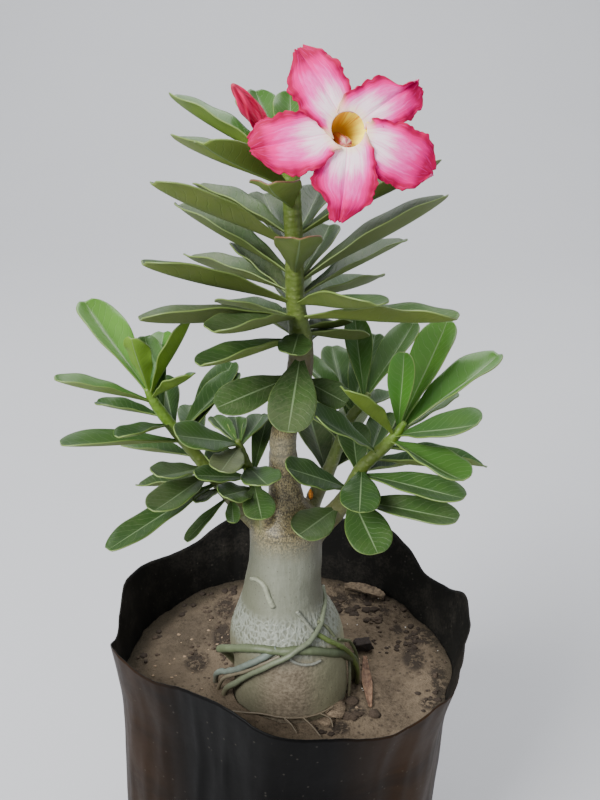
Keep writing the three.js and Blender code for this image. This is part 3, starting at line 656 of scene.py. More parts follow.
def stem_skin(tree):
    point, x, _, z = place_in_mm(tree)
    streak = fractal(stretched(point, 1, 1, 0.2), 0.7, 4)
    colour = mix(streak, (0.052, 0.084, 0.007), (0.1, 0.14, 0.018))
    lenticels = cells(stretched(point, 1, 1, 1.6), 0.42)
    colour = mix(reach(lenticels, 0.3, 0.15, 0, 0.4), colour, (0.17, 0.19, 0.07))
    woody = reach(scaled(fractal(point, 0.08), 16, z), 290, 276)
    main = reach(z, 255, 257)
    colour = mix(times(woody, main), colour, (0.11, 0.085, 0.045))
    away = maths("ABSOLUTE", x)
    low = times(reach(z, 226, 208), reach(away, 4, 10))
    colour = mix(times(low, 0.6), colour, (0.11, 0.09, 0.045))
    tip = larger(reach(z, 320, 338), times(reach(away, 28, 38), reach(z, 234, 248)))
    colour = mix(times(tip, 0.75), colour, (0.11, 0.22, 0.015))
    height = plus(streak, times(lenticels, -0.8))
    return look(colour, height, 0.6, 0.0005)


def bark_skin(tree):
    point, x, _, z = place_in_mm(tree)
    lump = fractal(point, 0.055, 5, 0.6)
    fine = fractal(point, 0.8, 4, 0.6)
    upright = fractal(stretched(point, 1, 1, 0.16), 0.9, 4, 0.6)
    wobbly = scaled(lump, 10, z)
    skin = mix(lump, (0.11, 0.114, 0.075), (0.235, 0.245, 0.185))
    skin = mix(reach(upright, 0.4, 0.7, 0, 0.25), skin, (0.29, 0.3, 0.24))
    dusty = mix(reach(fine, 0.3, 0.7), (0.135, 0.108, 0.072), (0.27, 0.222, 0.155))
    colour = mix(reach(wobbly, 163, 150), skin, dusty)
    # Painted shade: the right of the upper caudex darker and browner.
    turned = reach(x, 2, 17)
    shade = times(turned, reach(wobbly, 156, 172))
    colour = mix(times(shade, 0.7), colour, (0.075, 0.06, 0.032))
    # Painted shade: the left side of the caudex darker.
    colour = mix(reach(x, -5, -18, 0, 0.75), colour, (0.1, 0.103, 0.06))
    # The right of the lower bulge paler green: partly its own green tone, partly painted light.
    green_and_painted_light = times(turned, reach(wobbly, 168, 150))
    colour = mix(times(green_and_painted_light, 0.75), colour, (0.33, 0.33, 0.2))
    band = times(reach(wobbly, 154, 162), reach(wobbly, 175, 168))
    wander = linked("TexNoise", {"Vector": point, "Scale": 0.7, "Detail": 2}).outputs["Color"]
    bent = linked("VectorMath", {0: point, 1: wander}, operation="ADD").outputs[0]
    net = cells(stretched(bent, 1, 1, 0.75), 0.55, "DISTANCE_TO_EDGE")
    wrinkle = times(band, reach(net, 0.26, 0.04))
    cell = times(band, reach(net, 0.16, 0.34, 0, 0.5))
    colour = mix(cell, colour, (0.085, 0.09, 0.062))
    colour = mix(scaled(wrinkle, 0.65, times(band, 0.15)), colour, (0.265, 0.285, 0.24))
    trunk = reach(wobbly, 194, 210)
    rings = fractal(stretched(point, 0.1, 0.1, 1), 0.9, 3, 0.6)
    grain = fractal(stretched(point, 1, 1, 0.6), 1.9, 4, 0.65)
    bark = mix(reach(grain, 0.36, 0.62), (0.03, 0.023, 0.009), (0.23, 0.185, 0.085))
    bark = mix(reach(rings, 0.47, 0.38, 0, 0.7), bark, (0.04, 0.03, 0.014))
    pits = cells(point, 0.75)
    bark = mix(reach(pits, 0.3, 0.15, 0, 0.55), bark, (0.33, 0.29, 0.17))
    pale = times(reach(wobbly, 232, 236), reach(wobbly, 246, 242))
    bark = mix(times(pale, 0.3), bark, (0.27, 0.26, 0.2))
    limb = times(reach(maths("ABSOLUTE", plus(x, 2)), 7.5, 11), reach(z, 200, 206))
    bark = mix(times(limb, 0.7), bark, (0.13, 0.15, 0.055))
    colour = mix(trunk, colour, bark)
    specks = cells(point, 0.5)
    colour = mix(reach(specks, 0.16, 0.06, 0, 0.7), colour, (0.05, 0.036, 0.02))
    height = plus(times(upright, 0.35), times(fine, 0.5))
    height = scaled(wrinkle, 0.5, height)
    rough = scaled(lump, 0.25, reach(wobbly, 150, 165, 0.62, 0.36))
    return look(colour, height, 0.55, 0.0006, Roughness=rough)


def root_skin(tree):
    point, _, _, z = place_in_mm(tree)
    tint = node(tree, "Attribute", attribute_name="root_tint").outputs["Color"]
    streak = fractal(point, 0.35, 4, 0.6)
    colour = mix(reach(streak, 0.35, 0.65), tint, (0.3, 0.25, 0.18), "MULTIPLY")
    colour = mix(reach(streak, 0.3, 0.7, 0.25, 0.9), colour, tint)
    low = reach(scaled(streak, 8, z), 134, 124)
    colour = mix(times(low, 0.6), colour, (0.12, 0.09, 0.055))
    return look(colour, streak, 0.5, 0.0005)


def film_skin(tree):
    point, x, y, z = place_in_mm(tree)
    dust = use(DUST, {"Point": point, "Amount": 0.35, "Size": 0.22})
    inside = reach(node(tree, "Attribute", attribute_name="film_side").outputs["Fac"], 0.4, 0.6)
    smudge = times(dust["Mask"], scaled(inside, 0.4, 0.03))
    base = mix(inside, (0.0015, 0.0014, 0.0013), (0.009, 0.009, 0.0083))
    colour = mix(smudge, base, (0.05, 0.044, 0.036))
    # Painted reflection: a brown sheen on the outside of the film at both sides, stronger towards
    # the front and higher up.
    side = larger(reach(x, 12, 50), reach(x, -36, -68, 0, 0.65))
    band = fractal(stretched(point, 0.3, 0.3, 1), 0.06, 3, 0.6, 0.6)
    side = times(side, reach(band, 0.3, 0.6, 0.45, 1))
    side = times(side, reach(y, 50, -40))
    side = times(side, reach(z, 15, 95, 0.3, 1))
    side = times(side, reach(inside, 1, 0, 0, 0.85))
    colour = mix(side, colour, (0.036, 0.017, 0.006))
    colour = mix(times(dust["Specks"], 0.25), colour, (0.12, 0.11, 0.09))
    crumple = fractal(stretched(point, 1, 1, 0.4), 0.05, 2, 0.45, 0.3)
    fine = fractal(point, 0.5, 3)
    rough = scaled(smudge, 0.5, scaled(fine, 0.12, 0.4))
    height = scaled(fine, 0.02, crumple)
    return look(colour, height, 0.28, 0.0025, Roughness=rough)


def soil_skin(tree):
    point, x, y, _ = place_in_mm(tree)
    broad = fractal(point, 0.035, 5, 0.65)
    fine = fractal(point, 0.55, 5, 0.7)
    grain = cells(point, 1.1)
    colour = mix(reach(broad, 0.36, 0.64), (0.05, 0.037, 0.024), (0.125, 0.094, 0.062))
    colour = mix(reach(fine, 0.3, 0.75, 0, 0.5), colour, (0.15, 0.116, 0.08))
    dark = times(reach(fine, 0.43, 0.32), 0.55)
    colour = mix(dark, colour, (0.02, 0.014, 0.009))
    patch = reach(fractal(point, 0.045, 2), 0.47, 0.6)
    flecks = times(patch, reach(cells(point, 0.4), 0.34, 0.16))
    colour = mix(times(flecks, 0.7), colour, (0.03, 0.023, 0.016))
    colour = mix(reach(x, -12, -50, 0, 0.35), colour, (0.04, 0.032, 0.022))
    crusts = 0
    for middle, (wide, deep) in CRUSTS:
        offset = linked("VectorMath", {0: point, 1: (*middle, 0)}, operation="SUBTRACT").outputs[0]
        away = linked("VectorMath", {0: stretched(offset, 1 / wide, 1 / deep, 0)},
                      operation="LENGTH").outputs["Value"]
        crusts = larger(reach(away, 1.4, 0.7), crusts)
    ragged = times(crusts, reach(fractal(point, 0.4, 5, 0.7), 0.43, 0.51))
    colour = mix(times(ragged, 0.92), colour, (0.024, 0.018, 0.0135))
    far = maths("SQRT", plus(times(x, x), times(y, y)))
    edge = reach(scaled(broad, 22, far), 71, 80)
    colour = mix(times(edge, 0.75), colour, (0.018, 0.015, 0.009))
    height = plus(fine, times(grain, -0.45))
    height = scaled(ragged, 0.7, height)
    return look(colour, height, 0.7, 0.0008)


def crumb_skin(tree):
    point, *_ = place_in_mm(tree)
    tint = node(tree, "Attribute", attribute_name="crumb_tint").outputs["Color"]
    fine = fractal(point, 1.3, 4, 0.7)
    colour = mix(reach(fine, 0.3, 0.7, 0.25, 1), (0.03, 0.02, 0.014), tint)
    return look(colour, fine, 0.8, 0.0006)


def petal_sockets(tree, inner):
    chart, u, v = own_map(tree)
    across = maths("ABSOLUTE", scaled(u, 2, -1))
    flow = fractal(stretched(chart, 9, 1.3, 1), 3, 4, 0.6)
    wide = maths("POWER", across, 2.6)
    end = maths("POWER", v, 5)
    edge = scaled(minus(flow, 0.5), 0.42, larger(wide, end))
    edge = plus(edge, reach(v, 0.12, 0.58, -0.34, 0))
    colour = mix(reach(edge, -0.34, 0.06), (0.95, 0.78, 0.83), (0.93, 0.1, 0.45))
    colour = mix(reach(edge, -0.03, 0.22), colour, (0.78, 0, 0.2))
    colour = mix(reach(edge, 0.19, 0.46), colour, (0.34, 0, 0.046))
    colour = mix(reach(v, 0.14, 0.02, 0, 0.7), colour, (0.95, 0.82, 0.5))
    crease = reach(across, 0.035, 0)
    colour = mix(times(crease, 0.4), colour, (0.8, 0.03, 0.35))
    veins = reach(flow, 0.5, 0.68, 0, 0.3)
    colour = mix(veins, colour, (0.88, 0.03, 0.38))
    if not inner:
        colour = mix(0.45, colour, (0.74, 0.2, 0.4))
    height = minus(flow, times(crease, 0.5))
    # Painted light: the petals glow faintly, pale pink in the middle and deep red at the margins.
    painted_glow = mix(reach(edge, -0.25, 0.2), (0.9, 0.3, 0.65), (0.4, 0, 0.06))
    return {**look(colour, height, 0.35, 0.0005), "Emission Color": painted_glow}


def throat_skin(tree):
    chart, u, v = own_map(tree)
    streak = fractal(stretched(chart, 22, 1, 1), 2, 3)
    yellow = mix(reach(streak, 0.35, 0.65), (0.55, 0.24, 0.01), (0.95, 0.8, 0.07))
    # Painted shade on one side of the throat and a painted highlight of bright yellow on the other.
    turn = maths("ABSOLUTE", minus(u, 0.45))
    yellow = mix(reach(turn, 0.18, 0.36, 0, 0.75), yellow, (0.4, 0.15, 0.01))
    yellow = mix(reach(turn, 0.2, 0.05, 0, 0.7), yellow, (1, 0.92, 0.1))
    deep = mix(reach(v, 0.68, 0.86), yellow, (0.3, 0.12, 0.01))
    rim = mix(reach(v, 0.58, 0.5), deep, (0.95, 0.82, 0.66))
    outer = mix(reach(v, 0.4, 0.1), (0.78, 0.42, 0.5), (0.62, 0.5, 0.3))
    colour = mix(reach(v, 0.46, 0.42), rim, outer)
    # Painted light: the whole throat glows in its own colour.
    return {"Base Color": colour, "Emission Color": colour}


def anther_skin(tree):
    _, u, _ = own_map(tree)
    stripe = maths("SINE", times(u, 31.4))
    colour = mix(reach(stripe, -0.2, 0.6), (0.62, 0.34, 0.25), (0.5, 0.1, 0.13))
    return look(colour, stripe, 0.4, 0.0003)


def bud_skin(tree):
    chart, u, v = own_map(tree)
    flow = fractal(stretched(chart, 14, 1.5, 1), 2, 3)
    twist = maths("SINE", scaled(u, 31.4, times(v, -3)))
    colour = mix(reach(twist, -0.8, 0.9), (0.5, 0, 0.045), (0.86, 0.02, 0.13))
    colour = mix(reach(flow, 0.5, 0.7, 0, 0.4), colour, (0.75, 0.2, 0.3))
    colour = mix(reach(v, 0.22, 0.05), colour, (0.75, 0.55, 0.35))
    colour = mix(reach(v, 0.85, 0.97, 0, 0.7), colour, (0.25, 0.02, 0.04))
    return look(colour, flow, 0.4, 0.0004)


def dry_skin(tree, dark, pale):
    point, *_ = place_in_mm(tree)
    chart = node(tree, "UVMap", uv_map="UVMap").outputs[0]
    blade = use(VEINS, {"Map": chart, "Pairs": 9})
    blotch = fractal(point, 0.3, 4, 0.65)
    colour = mix(reach(blotch, 0.35, 0.65), dark, pale)
    colour = mix(times(blade["Midrib"], 0.5), colour, (0.25, 0.17, 0.11))
    height = plus(blotch, times(blade["Veins"], 0.5))
    return look(colour, height, 0.8, 0.0006)


def floor_skin(tree):
    point, *_ = place_in_mm(tree)
    return {"Base Color": mix(fractal(point, 0.004), (0.43, 0.435, 0.45), (0.46, 0.465, 0.48))}


LEAF_TOP = surface("leaf_top", lambda tree: leaf_sockets(tree, True), Specular_IOR_Level=0.2,
                   Coat_Roughness=0.17)
LEAF_UNDER = surface("leaf_under", lambda tree: leaf_sockets(tree, False), Specular_IOR_Level=0.25)
LEAF_MARGIN = surface("leaf_margin", leaf_margin, Roughness=0.42)
STEM = surface("green_stem", stem_skin, Roughness=0.5)
BARK = surface("caudex_bark", bark_skin)
ROOT = surface("aerial_root", root_skin, Roughness=0.55)
FILM = surface("black_film", film_skin, Specular_IOR_Level=0.07)
SOIL = surface("sandy_soil", soil_skin, Roughness=0.95, Specular_IOR_Level=0.2)
CRUMB = surface("soil_crumb", crumb_skin, Roughness=0.95, Specular_IOR_Level=0.2)
# Painted light: the petals and the throat glow a little, though they are no lamp.
PETAL = surface("petal_face", lambda tree: petal_sockets(tree, True), Roughness=0.6,
                Specular_IOR_Level=0.1, Emission_Strength=0.2)
PETAL_BACK = surface("petal_back", lambda tree: petal_sockets(tree, False), Roughness=0.6,
                     Specular_IOR_Level=0.1, Emission_Strength=0.1)
THROAT = surface("flower_throat", throat_skin, Roughness=0.5, Specular_IOR_Level=0.2,
                 Emission_Strength=0.6)
ANTHER = surface("anther_cone", anther_skin, Roughness=0.6)
BUD = surface("bud_skin", bud_skin, Roughness=0.5, Specular_IOR_Level=0.2)
DRY_LEAF = surface(
    "dry_leaf", lambda tree: dry_skin(tree, (0.085, 0.04, 0.022), (0.2, 0.115, 0.065)),
    Roughness=0.8)
TAN_LEAF = surface(
    "tan_leaf", lambda tree: dry_skin(tree, (0.075, 0.052, 0.033), (0.2, 0.15, 0.095)),
    Roughness=0.85)


# Bag

@functools.cache
def rim(azimuth):
    return smooth(RIM, azimuth, 1, 360), smooth(RIM, azimuth, 2, 360)


def bag_point(azimuth, share, inset):
    """A point of the film at a share of its height, set in from its outside."""
    radius, height = rim(round(azimuth, 1))
    out = radius * smooth(BAG_WALL, share, 1) - inset
    angle = radians(azimuth)
    return Vector((BAG_LEAN * (1 - share) + out * cos(angle), out * sin(angle),
                   BAG_HEIGHT * share + (height - BAG_HEIGHT) * share ** 3))


def crease(azimuth, share):
    """How far the film stands in, in mm: long upright creases, and soft buckles near the rim."""
    angle = radians(azimuth)
    ring = Vector((cos(angle), sin(angle), share * 0.35))
    folds = abs(noise.noise(ring * 5.2)) + 0.5 * abs(noise.noise(ring * 11 + Vector((7, 3, 1))))
    buckle = noise.noise(Vector((ring.x * 3, ring.y * 3, share * 4)))
    return 1.2 * folds * blend(0, 0.1, share) + 0.5 * (buckle + 0.5) - 0.65


def make_bag():
    """The film as one closed skin: up its outside, over the rim and down its inside."""
    levels = [0.006 * k for k in range(14)] + [0.085 + 0.915 * k / 96 for k in range(97)]
    walls = [(share, 0) for share in levels] + [(share, BAG_FILM) for share in reversed(levels)]

    def place(azimuth, t):
        ring = min(max(round(t * (len(walls) + 1)) - 1, 0), len(walls) - 1)
        share, inset = walls[ring]
        point = bag_point(azimuth, share, inset + crease(azimuth, share))
        if inset:
            point.z = max(point.z, BAG_FILM)
        if t in (0, 1):
            return Vector((BAG_LEAN, 0, point.z))
        return point

    bag = roll("nursery_bag", 288, len(walls) + 1, place)
    inner = bag.data.attributes.new("film_side", "FLOAT", "POINT")
    for vertex in bag.data.vertices:
        x, y, z = vertex.co / MM
        outward = Vector((x - BAG_LEAN * (1 - z / BAG_HEIGHT), y, 0))
        inner.data[vertex.index].value = float(vertex.normal.dot(outward) < 0)
    dress(bag, "grow_bag", "film", FILM)


# Soil

def soil_height(x, y):
    """Height of the soil as the solids have it: a slope and broad mounds."""
    mounds = 0.9 * sin(x / 11 + 1) * cos(y / 13) + 0.5 * sin(x / 6 - y / 7)
    return SOIL_LEVEL - SOIL_FALL * x / 75 + mounds


def crust(x, y):
    """Height of the real crust: clods, hollows and cracks on the mounds."""
    point = Vector((x, y, 0))
    lumps = 0.9 * ripple(point, 14, 4) + 0.45 * abs(ripple(point + Vector((50, 20, 0)), 4, 3))
    return soil_height(x, y) + lumps - 0.25


def soil_edge(azimuth):
    """Where the bag's wall meets the soil: its share of the height, and the radius there."""
    low, high = 0.5, 1.0
    for _ in range(14):
        middle = (low + high) / 2
        point = bag_point(azimuth, middle, BAG_FILM + 0.3 + crease(azimuth, middle))
        if point.z < soil_height(point.x, point.y):
            low = middle
        else:
            high = middle
    return low, point


def caudex_point(azimuth, height, out=1, grow=0):
    """A point on the caudex or root: out is its distance from the middle, in caudex radii."""
    x, y, wide, deep = (smooth(CAUDEX, height, column) for column in (1, 2, 3, 4))
    angle = radians(azimuth)
    return Vector((x + (wide + grow) * out * cos(angle),
                   y + (deep + grow) * out * sin(angle), height))


def make_soil():
    """The soil as one closed skin: up the caudex's hole, out over the crust and down the film."""
    wells = [66, 80, 95, 108, 115, 119]
    spans = [k / 84 for k in range(1, 85)]
    walls = [0.8, 0.6, 0.4, 0.2, 0.08, 0.03, 0.0]
    edges = {}
    last = len(wells) + len(spans) + len(walls) + 1

    def place(azimuth, t):
        ring = round(t * last)
        if azimuth not in edges:
            edges[azimuth] = soil_edge(azimuth)
        share, edge = edges[azimuth]
        if ring == 0:
            return Vector((CAUDEX[0][1], CAUDEX[0][2], CAUDEX[0][0] - 1))
        if ring <= len(wells):
            return caudex_point(azimuth, wells[ring - 1], grow=HOLE_GAP)
        if ring <= len(wells) + len(spans):
            near = caudex_point(azimuth, SOIL_LEVEL, grow=HOLE_GAP)
            point = near.lerp(edge, spans[ring - len(wells) - 1])
            point.z = crust(point.x, point.y)
            return point
        if ring == last:
            return Vector((BAG_LEAN, 0, BAG_FILM + SOIL_GAP))
        level = walls[ring - len(wells) - len(spans) - 1]
        inset = BAG_FILM + SOIL_GAP + crease(azimuth, min(level, share))
        point = bag_point(azimuth, min(level, share - 0.01), inset)
        point.z = max(point.z, BAG_FILM + SOIL_GAP)
        return point

    soil = roll("sandy_soil", 300, last, place)
    dress(soil, "soil", "soil", SOIL)


@functools.cache
def round_grain():
    deselect()
    bpy.ops.mesh.primitive_ico_sphere_add(subdivisions=2, radius=1)
    grain = bpy.context.object
    mesh = grain.data.copy()
    bpy.data.objects.remove(grain)
    return mesh


def clod(place, size, tint):
    """One rough crumb of earth, bark or stone."""
    shift = Vector(place)
    squash = 0.6

    def spot(co):
        out = 1 + 0.45 * ripple(co * 2 + shift, 1.6, 2)
        return Vector((co.x * size[0], co.y * size[1], co.z * size[2] * squash)) * out + shift

    piece = shaped("clod", round_grain(), spot)
    paint(piece, "crumb_tint", (*tint, 1))
    return piece


def make_crumbs():
    dice = random.Random(11)
    dark, mould_and_shade = (0.07, 0.052, 0.037), (0.04, 0.031, 0.024)
    tan, white = (0.36, 0.26, 0.17), (0.75, 0.73, 0.68)
    pieces = []

    def scatter(count, x, y, spread, size, tint):
        for _ in range(count):
            px, py = dice.gauss(x, spread), dice.gauss(y, spread)
            far = hypot(px, py)
            body = hypot(px + 1, py + 11)
            if far > 66 or body < 25:
                continue
            big = size * dice.uniform(0.5, 1.3)
            sizes = (big, big * dice.uniform(0.6, 1), big * dice.uniform(0.5, 0.9))
            pieces.append(clod((px, py, crust(px, py) + big * 0.08), sizes, tint))

    for count, x, y, spread, size, tint in (
            (9, 26, -30, 2.6, 2.2, dark), (9, 43, 14, 4.5, 1, mould_and_shade), (12, 37, 30, 4, 1.3, dark),
            (14, 30, 45, 6, 2, mould_and_shade), (10, 12, 46, 7, 1.6, dark),
            (30, -33, 38, 6, 0.9, dark), (14, -30, 56, 3, 1.3, mould_and_shade), (30, -39, 10, 6, 0.8, dark),
            (16, 38, 42, 7, 0.8, mould_and_shade), (18, 52, 20, 3, 1.2, mould_and_shade), (12, 60, 28, 3, 1, mould_and_shade),
            # The seven dark clods at (11, -37) stand in for a shadowed pit: painted shade.
            (12, 60, -16, 3, 1.1, mould_and_shade), (12, 42, 34, 6, 0.8, dark), (7, 11, -37, 1.6, 1.2, mould_and_shade),
            (50, 10, 10, 34, 0.7, dark), (40, 0, 0, 40, 0.6, tan), (24, -38, 5, 16, 0.7, tan)):
        scatter(count, x, y, spread, size, tint)
    for x, y, size in (
            (17.5, -26, (4.6, 6, 3.4)), (19.5, -17, (3, 5, 2.4)), (14, -32.5, (3.4, 2.6, 2.2))):
        pieces.append(clod((x, y, crust(x, y)), size, (0.24, 0.18, 0.12)))
    scatter(24, 25, 0, 26, 0.45, white)
    for _ in range(70):
        azimuth = dice.uniform(-180, 180)
        point = soil_edge(azimuth)[1] * dice.uniform(0.88, 0.965)
        big = dice.uniform(0.5, 1.6)
        tint = mould_and_shade if dice.random() < 0.6 else dark
        pieces.append(clod((point.x, point.y, crust(point.x, point.y)), (big, big, big), tint))
    crumbs = join("soil_crumbs", pieces)
    dress(crumbs, None, "soil", CRUMB)


# Caudex, trunk and roots

def stem_point(stem, height):
    return Vector((smooth(stem["path"], height, 1), smooth(stem["path"], height, 2), height))


def stem_stations(stem, start, end, count):
    return [(stem_point(stem, start + (end - start) * k / count),
             smooth(stem["path"], start + (end - start) * k / count, 3)) for k in range(count + 1)]


def make_caudex():
    foot, top = CAUDEX[0][0], CAUDEX[-1][0]

    def place(azimuth, t):
        height = foot + (top - foot) * t
        return caudex_point(azimuth, height, 0 if t in (0, 1) else 1)

    parts = [roll("caudex", 72, 120, place)]
    for stem in (MAIN_STEM, LEFT_STEM, RIGHT_STEM, FRONT_STEM, BACK_STEM):
        stations = stem_stations(stem, stem["path"][0][0], stem["joint"] + 0.6, 14)
        parts.append(tube("limb", stations, 24))
    caudex = join("caudex_and_trunk_skin", parts)
    caudex.data.remesh_voxel_size = SKIN_VOXEL * MM
    pick(caudex)
    bpy.ops.object.voxel_remesh()
    finish(caudex, "SMOOTH", factor=0.6, iterations=9)
    skin = [(vertex.co / MM, vertex.normal.copy()) for vertex in caudex.data.vertices]
    spots = [value * MM for point, out in skin for value in point + out * skin_relief(point)]
    caudex.data.vertices.foreach_set("co", spots)
    dress(caudex, "caudex_and_trunk", "bark", BARK)


def skin_relief(point):
    """How far the skin stands out, in mm: wrinkles round the waist, rings on the trunk, knobs."""
    angle = atan2(point.y + 12, point.x + 2)
    band = blend(146, 156, point.z) * blend(172, 164, point.z)
    wave = sin(46 * angle + 5 * ripple(point, 9, 2) + 0.25 * point.z)
    wrinkles = 0.16 * band * wave
    trunk = blend(205, 213, point.z)
    rings = 0.22 * trunk * ripple((point.x * 0.4, point.y * 0.4, point.z * 1.6), 5, 3)
    return wrinkles + rings + 0.22 * ripple(point, 13, 3)


def root_stations(radii, path, steps):
    points = [caudex_point(*place, radii[0] * 0.35) for place in path]
    return [(Vector(curve(points, (len(points) - 1) * k / steps)),
             radii[0] + (radii[1] - radii[0]) * k / steps) for k in range(steps + 1)]


def make_roots():
    tints = [(0.15, 0.175, 0.085), (0.21, 0.24, 0.19), (0.23, 0.19, 0.12), (0.2, 0.22, 0.13),
             (0.19, 0.25, 0.06), (0.18, 0.2, 0.09), (0.18, 0.18, 0.1), (0.17, 0.18, 0.09),
             (0.3, 0.3, 0.22), (0.34, 0.33, 0.26), (0.4, 0.4, 0.27), *[(0.2, 0.155, 0.095)] * 4]
    pieces = []
    for (radii, path), tint in zip([*ROOTS, SCAR, *THREADS], tints):
        stations = root_stations(radii, path, 9 * len(path))
        seed = Vector(tint) * 90

        def knobbly(azimuth, share, seed=seed, radii=radii):
            knot = ripple(seed + Vector((share * 40, cos(radians(azimuth)), 0)), 2.5, 3)
            return 0.18 * radii[0] * knot

        root = tube("root", stations, 14, knobbly)
        paint(root, "root_tint", (0.7 * tint[0], 0.74 * tint[1], 0.79 * tint[2], 1))
        pieces.append(root)
    roots = join("aerial_roots", pieces)
    dress(roots, None, "bark", ROOT)


# Leaves and stems

def leaf_width(t, width):
    if t < 0.68:
        share = 0.14 + 0.86 * sin(pi / 2 * t / 0.68) ** 1.7
    else:
        share = sqrt(max(1 - ((t - 0.68) / (1.012 - 0.68)) ** 2.5, 0))
    return width / 2 * share


def make_leaf(stem, row, dice):
    """A blade folded along its midrib, arched and waved, from a row of its stem's table."""
    height, azimuth, rise, length = row[:4]
    form = row[4] if len(row) > 4 else {}
    fold = radians(form.get("fold", 38))
    width = form.get("width", stem["broad"][0] + stem["broad"][1] * length)
    roll_angle = -form.get("tilt", stem.get("tilt", 5)) * cos(radians(azimuth))
    foot = stem_point(stem, height)
    along = direction(azimuth, rise)
    side = along.cross(Vector((0, 0, 1))).normalized()
    side.rotate(Matrix.Rotation(radians(roll_angle), 3, along))
    up = side.cross(along)
    phase = dice.uniform(0, 6.3)
    waves = dice.uniform(2.2, 3.4)
    ruffle = dice.uniform(0.15, 0.45)

    def place(t, s):
        s = sin(pi / 2 * s) * 0.6 + s * 0.4
        t = 1 - (1 - t) ** 1.25
        half = leaf_width(t, width)
        keel = sqrt(s * s + 0.012) - 0.11
        bent = fold * (1 - 0.45 * t ** 4)
        lift = 0.12 * length * (t - t * t) + half * sin(bent) * (keel - 0.45)
        lift += ruffle * s * s * sin(waves * 6.28 * t + phase + s) * blend(0.1, 0.4, t)
        lift -= 0.05 * half * s ** 6
        return foot + along * (0.6 + (length - 0.6) * t) + side * s * half * cos(bent) + up * lift

    return sheet("blade", 14, 26, place)


def make_shoot(name, node_name, stem, fresh, extra=()):
    dice = random.Random(name)
    top = stem["path"][-1][0]
    blades = []
    for row in stem["leaves"]:
        blade = make_leaf(stem, row, dice)
        height = row[0]
        form = row[4] if len(row) > 4 else {}
        young = form.get("young", fresh * blend(top - 14, top - 2, height) * dice.uniform(0.75, 1))
        worn = (1 - fresh) * 0.3 + blend(top - 10, top - 36, height) * dice.uniform(0.3, 0.7)
        tint = (young, dice.random(), form.get("dull", worn), form.get("red", 0))
        paint(blade, "leaf_tint", tint)
        blades.append(blade)
    leaves = join(name + "_leaves", blades)
    wear(leaves, LEAF_TOP, LEAF_UNDER, LEAF_MARGIN)
    finish(leaves, "SOLIDIFY", thickness=LEAF_THICKNESS * MM, offset=0, material_offset=1,
           material_offset_rim=2)

    def scars(azimuth, share):
        return 0.05 * sin(share * (top - stem["joint"]) * 1.9 + radians(azimuth))

    count = max(12, round((top - stem["joint"]) * 1.6))
    stalk = tube(name + "_stem", stem_stations(stem, stem["joint"] - 0.8, top, count), 28, scars)
    parts = join(name + "_stem", [stalk, *extra]) if extra else stalk
    dress(leaves, node_name, "leaf")
    dress(parts, None, "leaf", STEM)


# Flower

FORWARD = direction(FLOWER_AZIMUTH, FLOWER_RISE)
RIGHT = Vector((0, 0, 1)).cross(FORWARD).normalized()
UPWARD = FORWARD.cross(RIGHT)


def flower_point(a, b, c):
    """A point right of, above and in front of the middle of the flower's mouth."""
    return MOUTH + RIGHT * a + UPWARD * b + FORWARD * c


def make_lobe(number, angle, length, edges):
    turn = radians(angle)

    def place(t, s):
        s = sin(pi / 2 * s) * 0.5 + s * 0.5
        share = LOBE_START + (1 - LOBE_START) * t
        half = smooth(edges, share, 1 if s < 0 else 2)
        notch = 1 + 0.035 * abs(s) ** 3 * sin(31 * share + 5 * number)
        notch += 0.02 * abs(s) ** 3 * sin(67 * share)
        teeth = sin(83 * share + 7 * number) * sin(29 * share + 2 * number)
        half *= notch + 0.028 * abs(s) ** 5 * teeth * blend(1, 0.85, t)
        out = length * (share + 0.012 * t ** 6 * sin(9 * s + number))
        start = length * LOBE_START
        out += 0.2 * t ** 10 * sin(23 * s + 5 * number) * sin(9 * s + number)
        out -= (1 - t) ** 4 * (start - sqrt(max(start * start - (s * half) ** 2, 0)))
        ruffle = 1.1 * s * s * share * sin(9 * share + 2.4 * s + 1.7 * number)
        ruffle += 0.45 * abs(s) ** 4 * sin(27 * share + 3 * s + number)
        ruffle += 0.25 * abs(s) ** 8 * sin(61 * share + 3 * number)
        height = (1.4 * sin(pi * share) - 2.4 * share ** 3 - 0.7 * s + ruffle
                  - 0.5 * (1 - share) - 0.5 * exp(-(s / 0.12) ** 2) * blend(0.2, 0.5, share))
        return flower_point(out * cos(turn) + s * half * sin(turn),
                            out * sin(turn) - s * half * cos(turn), height)

    return sheet("lobe", 44, 76, place)


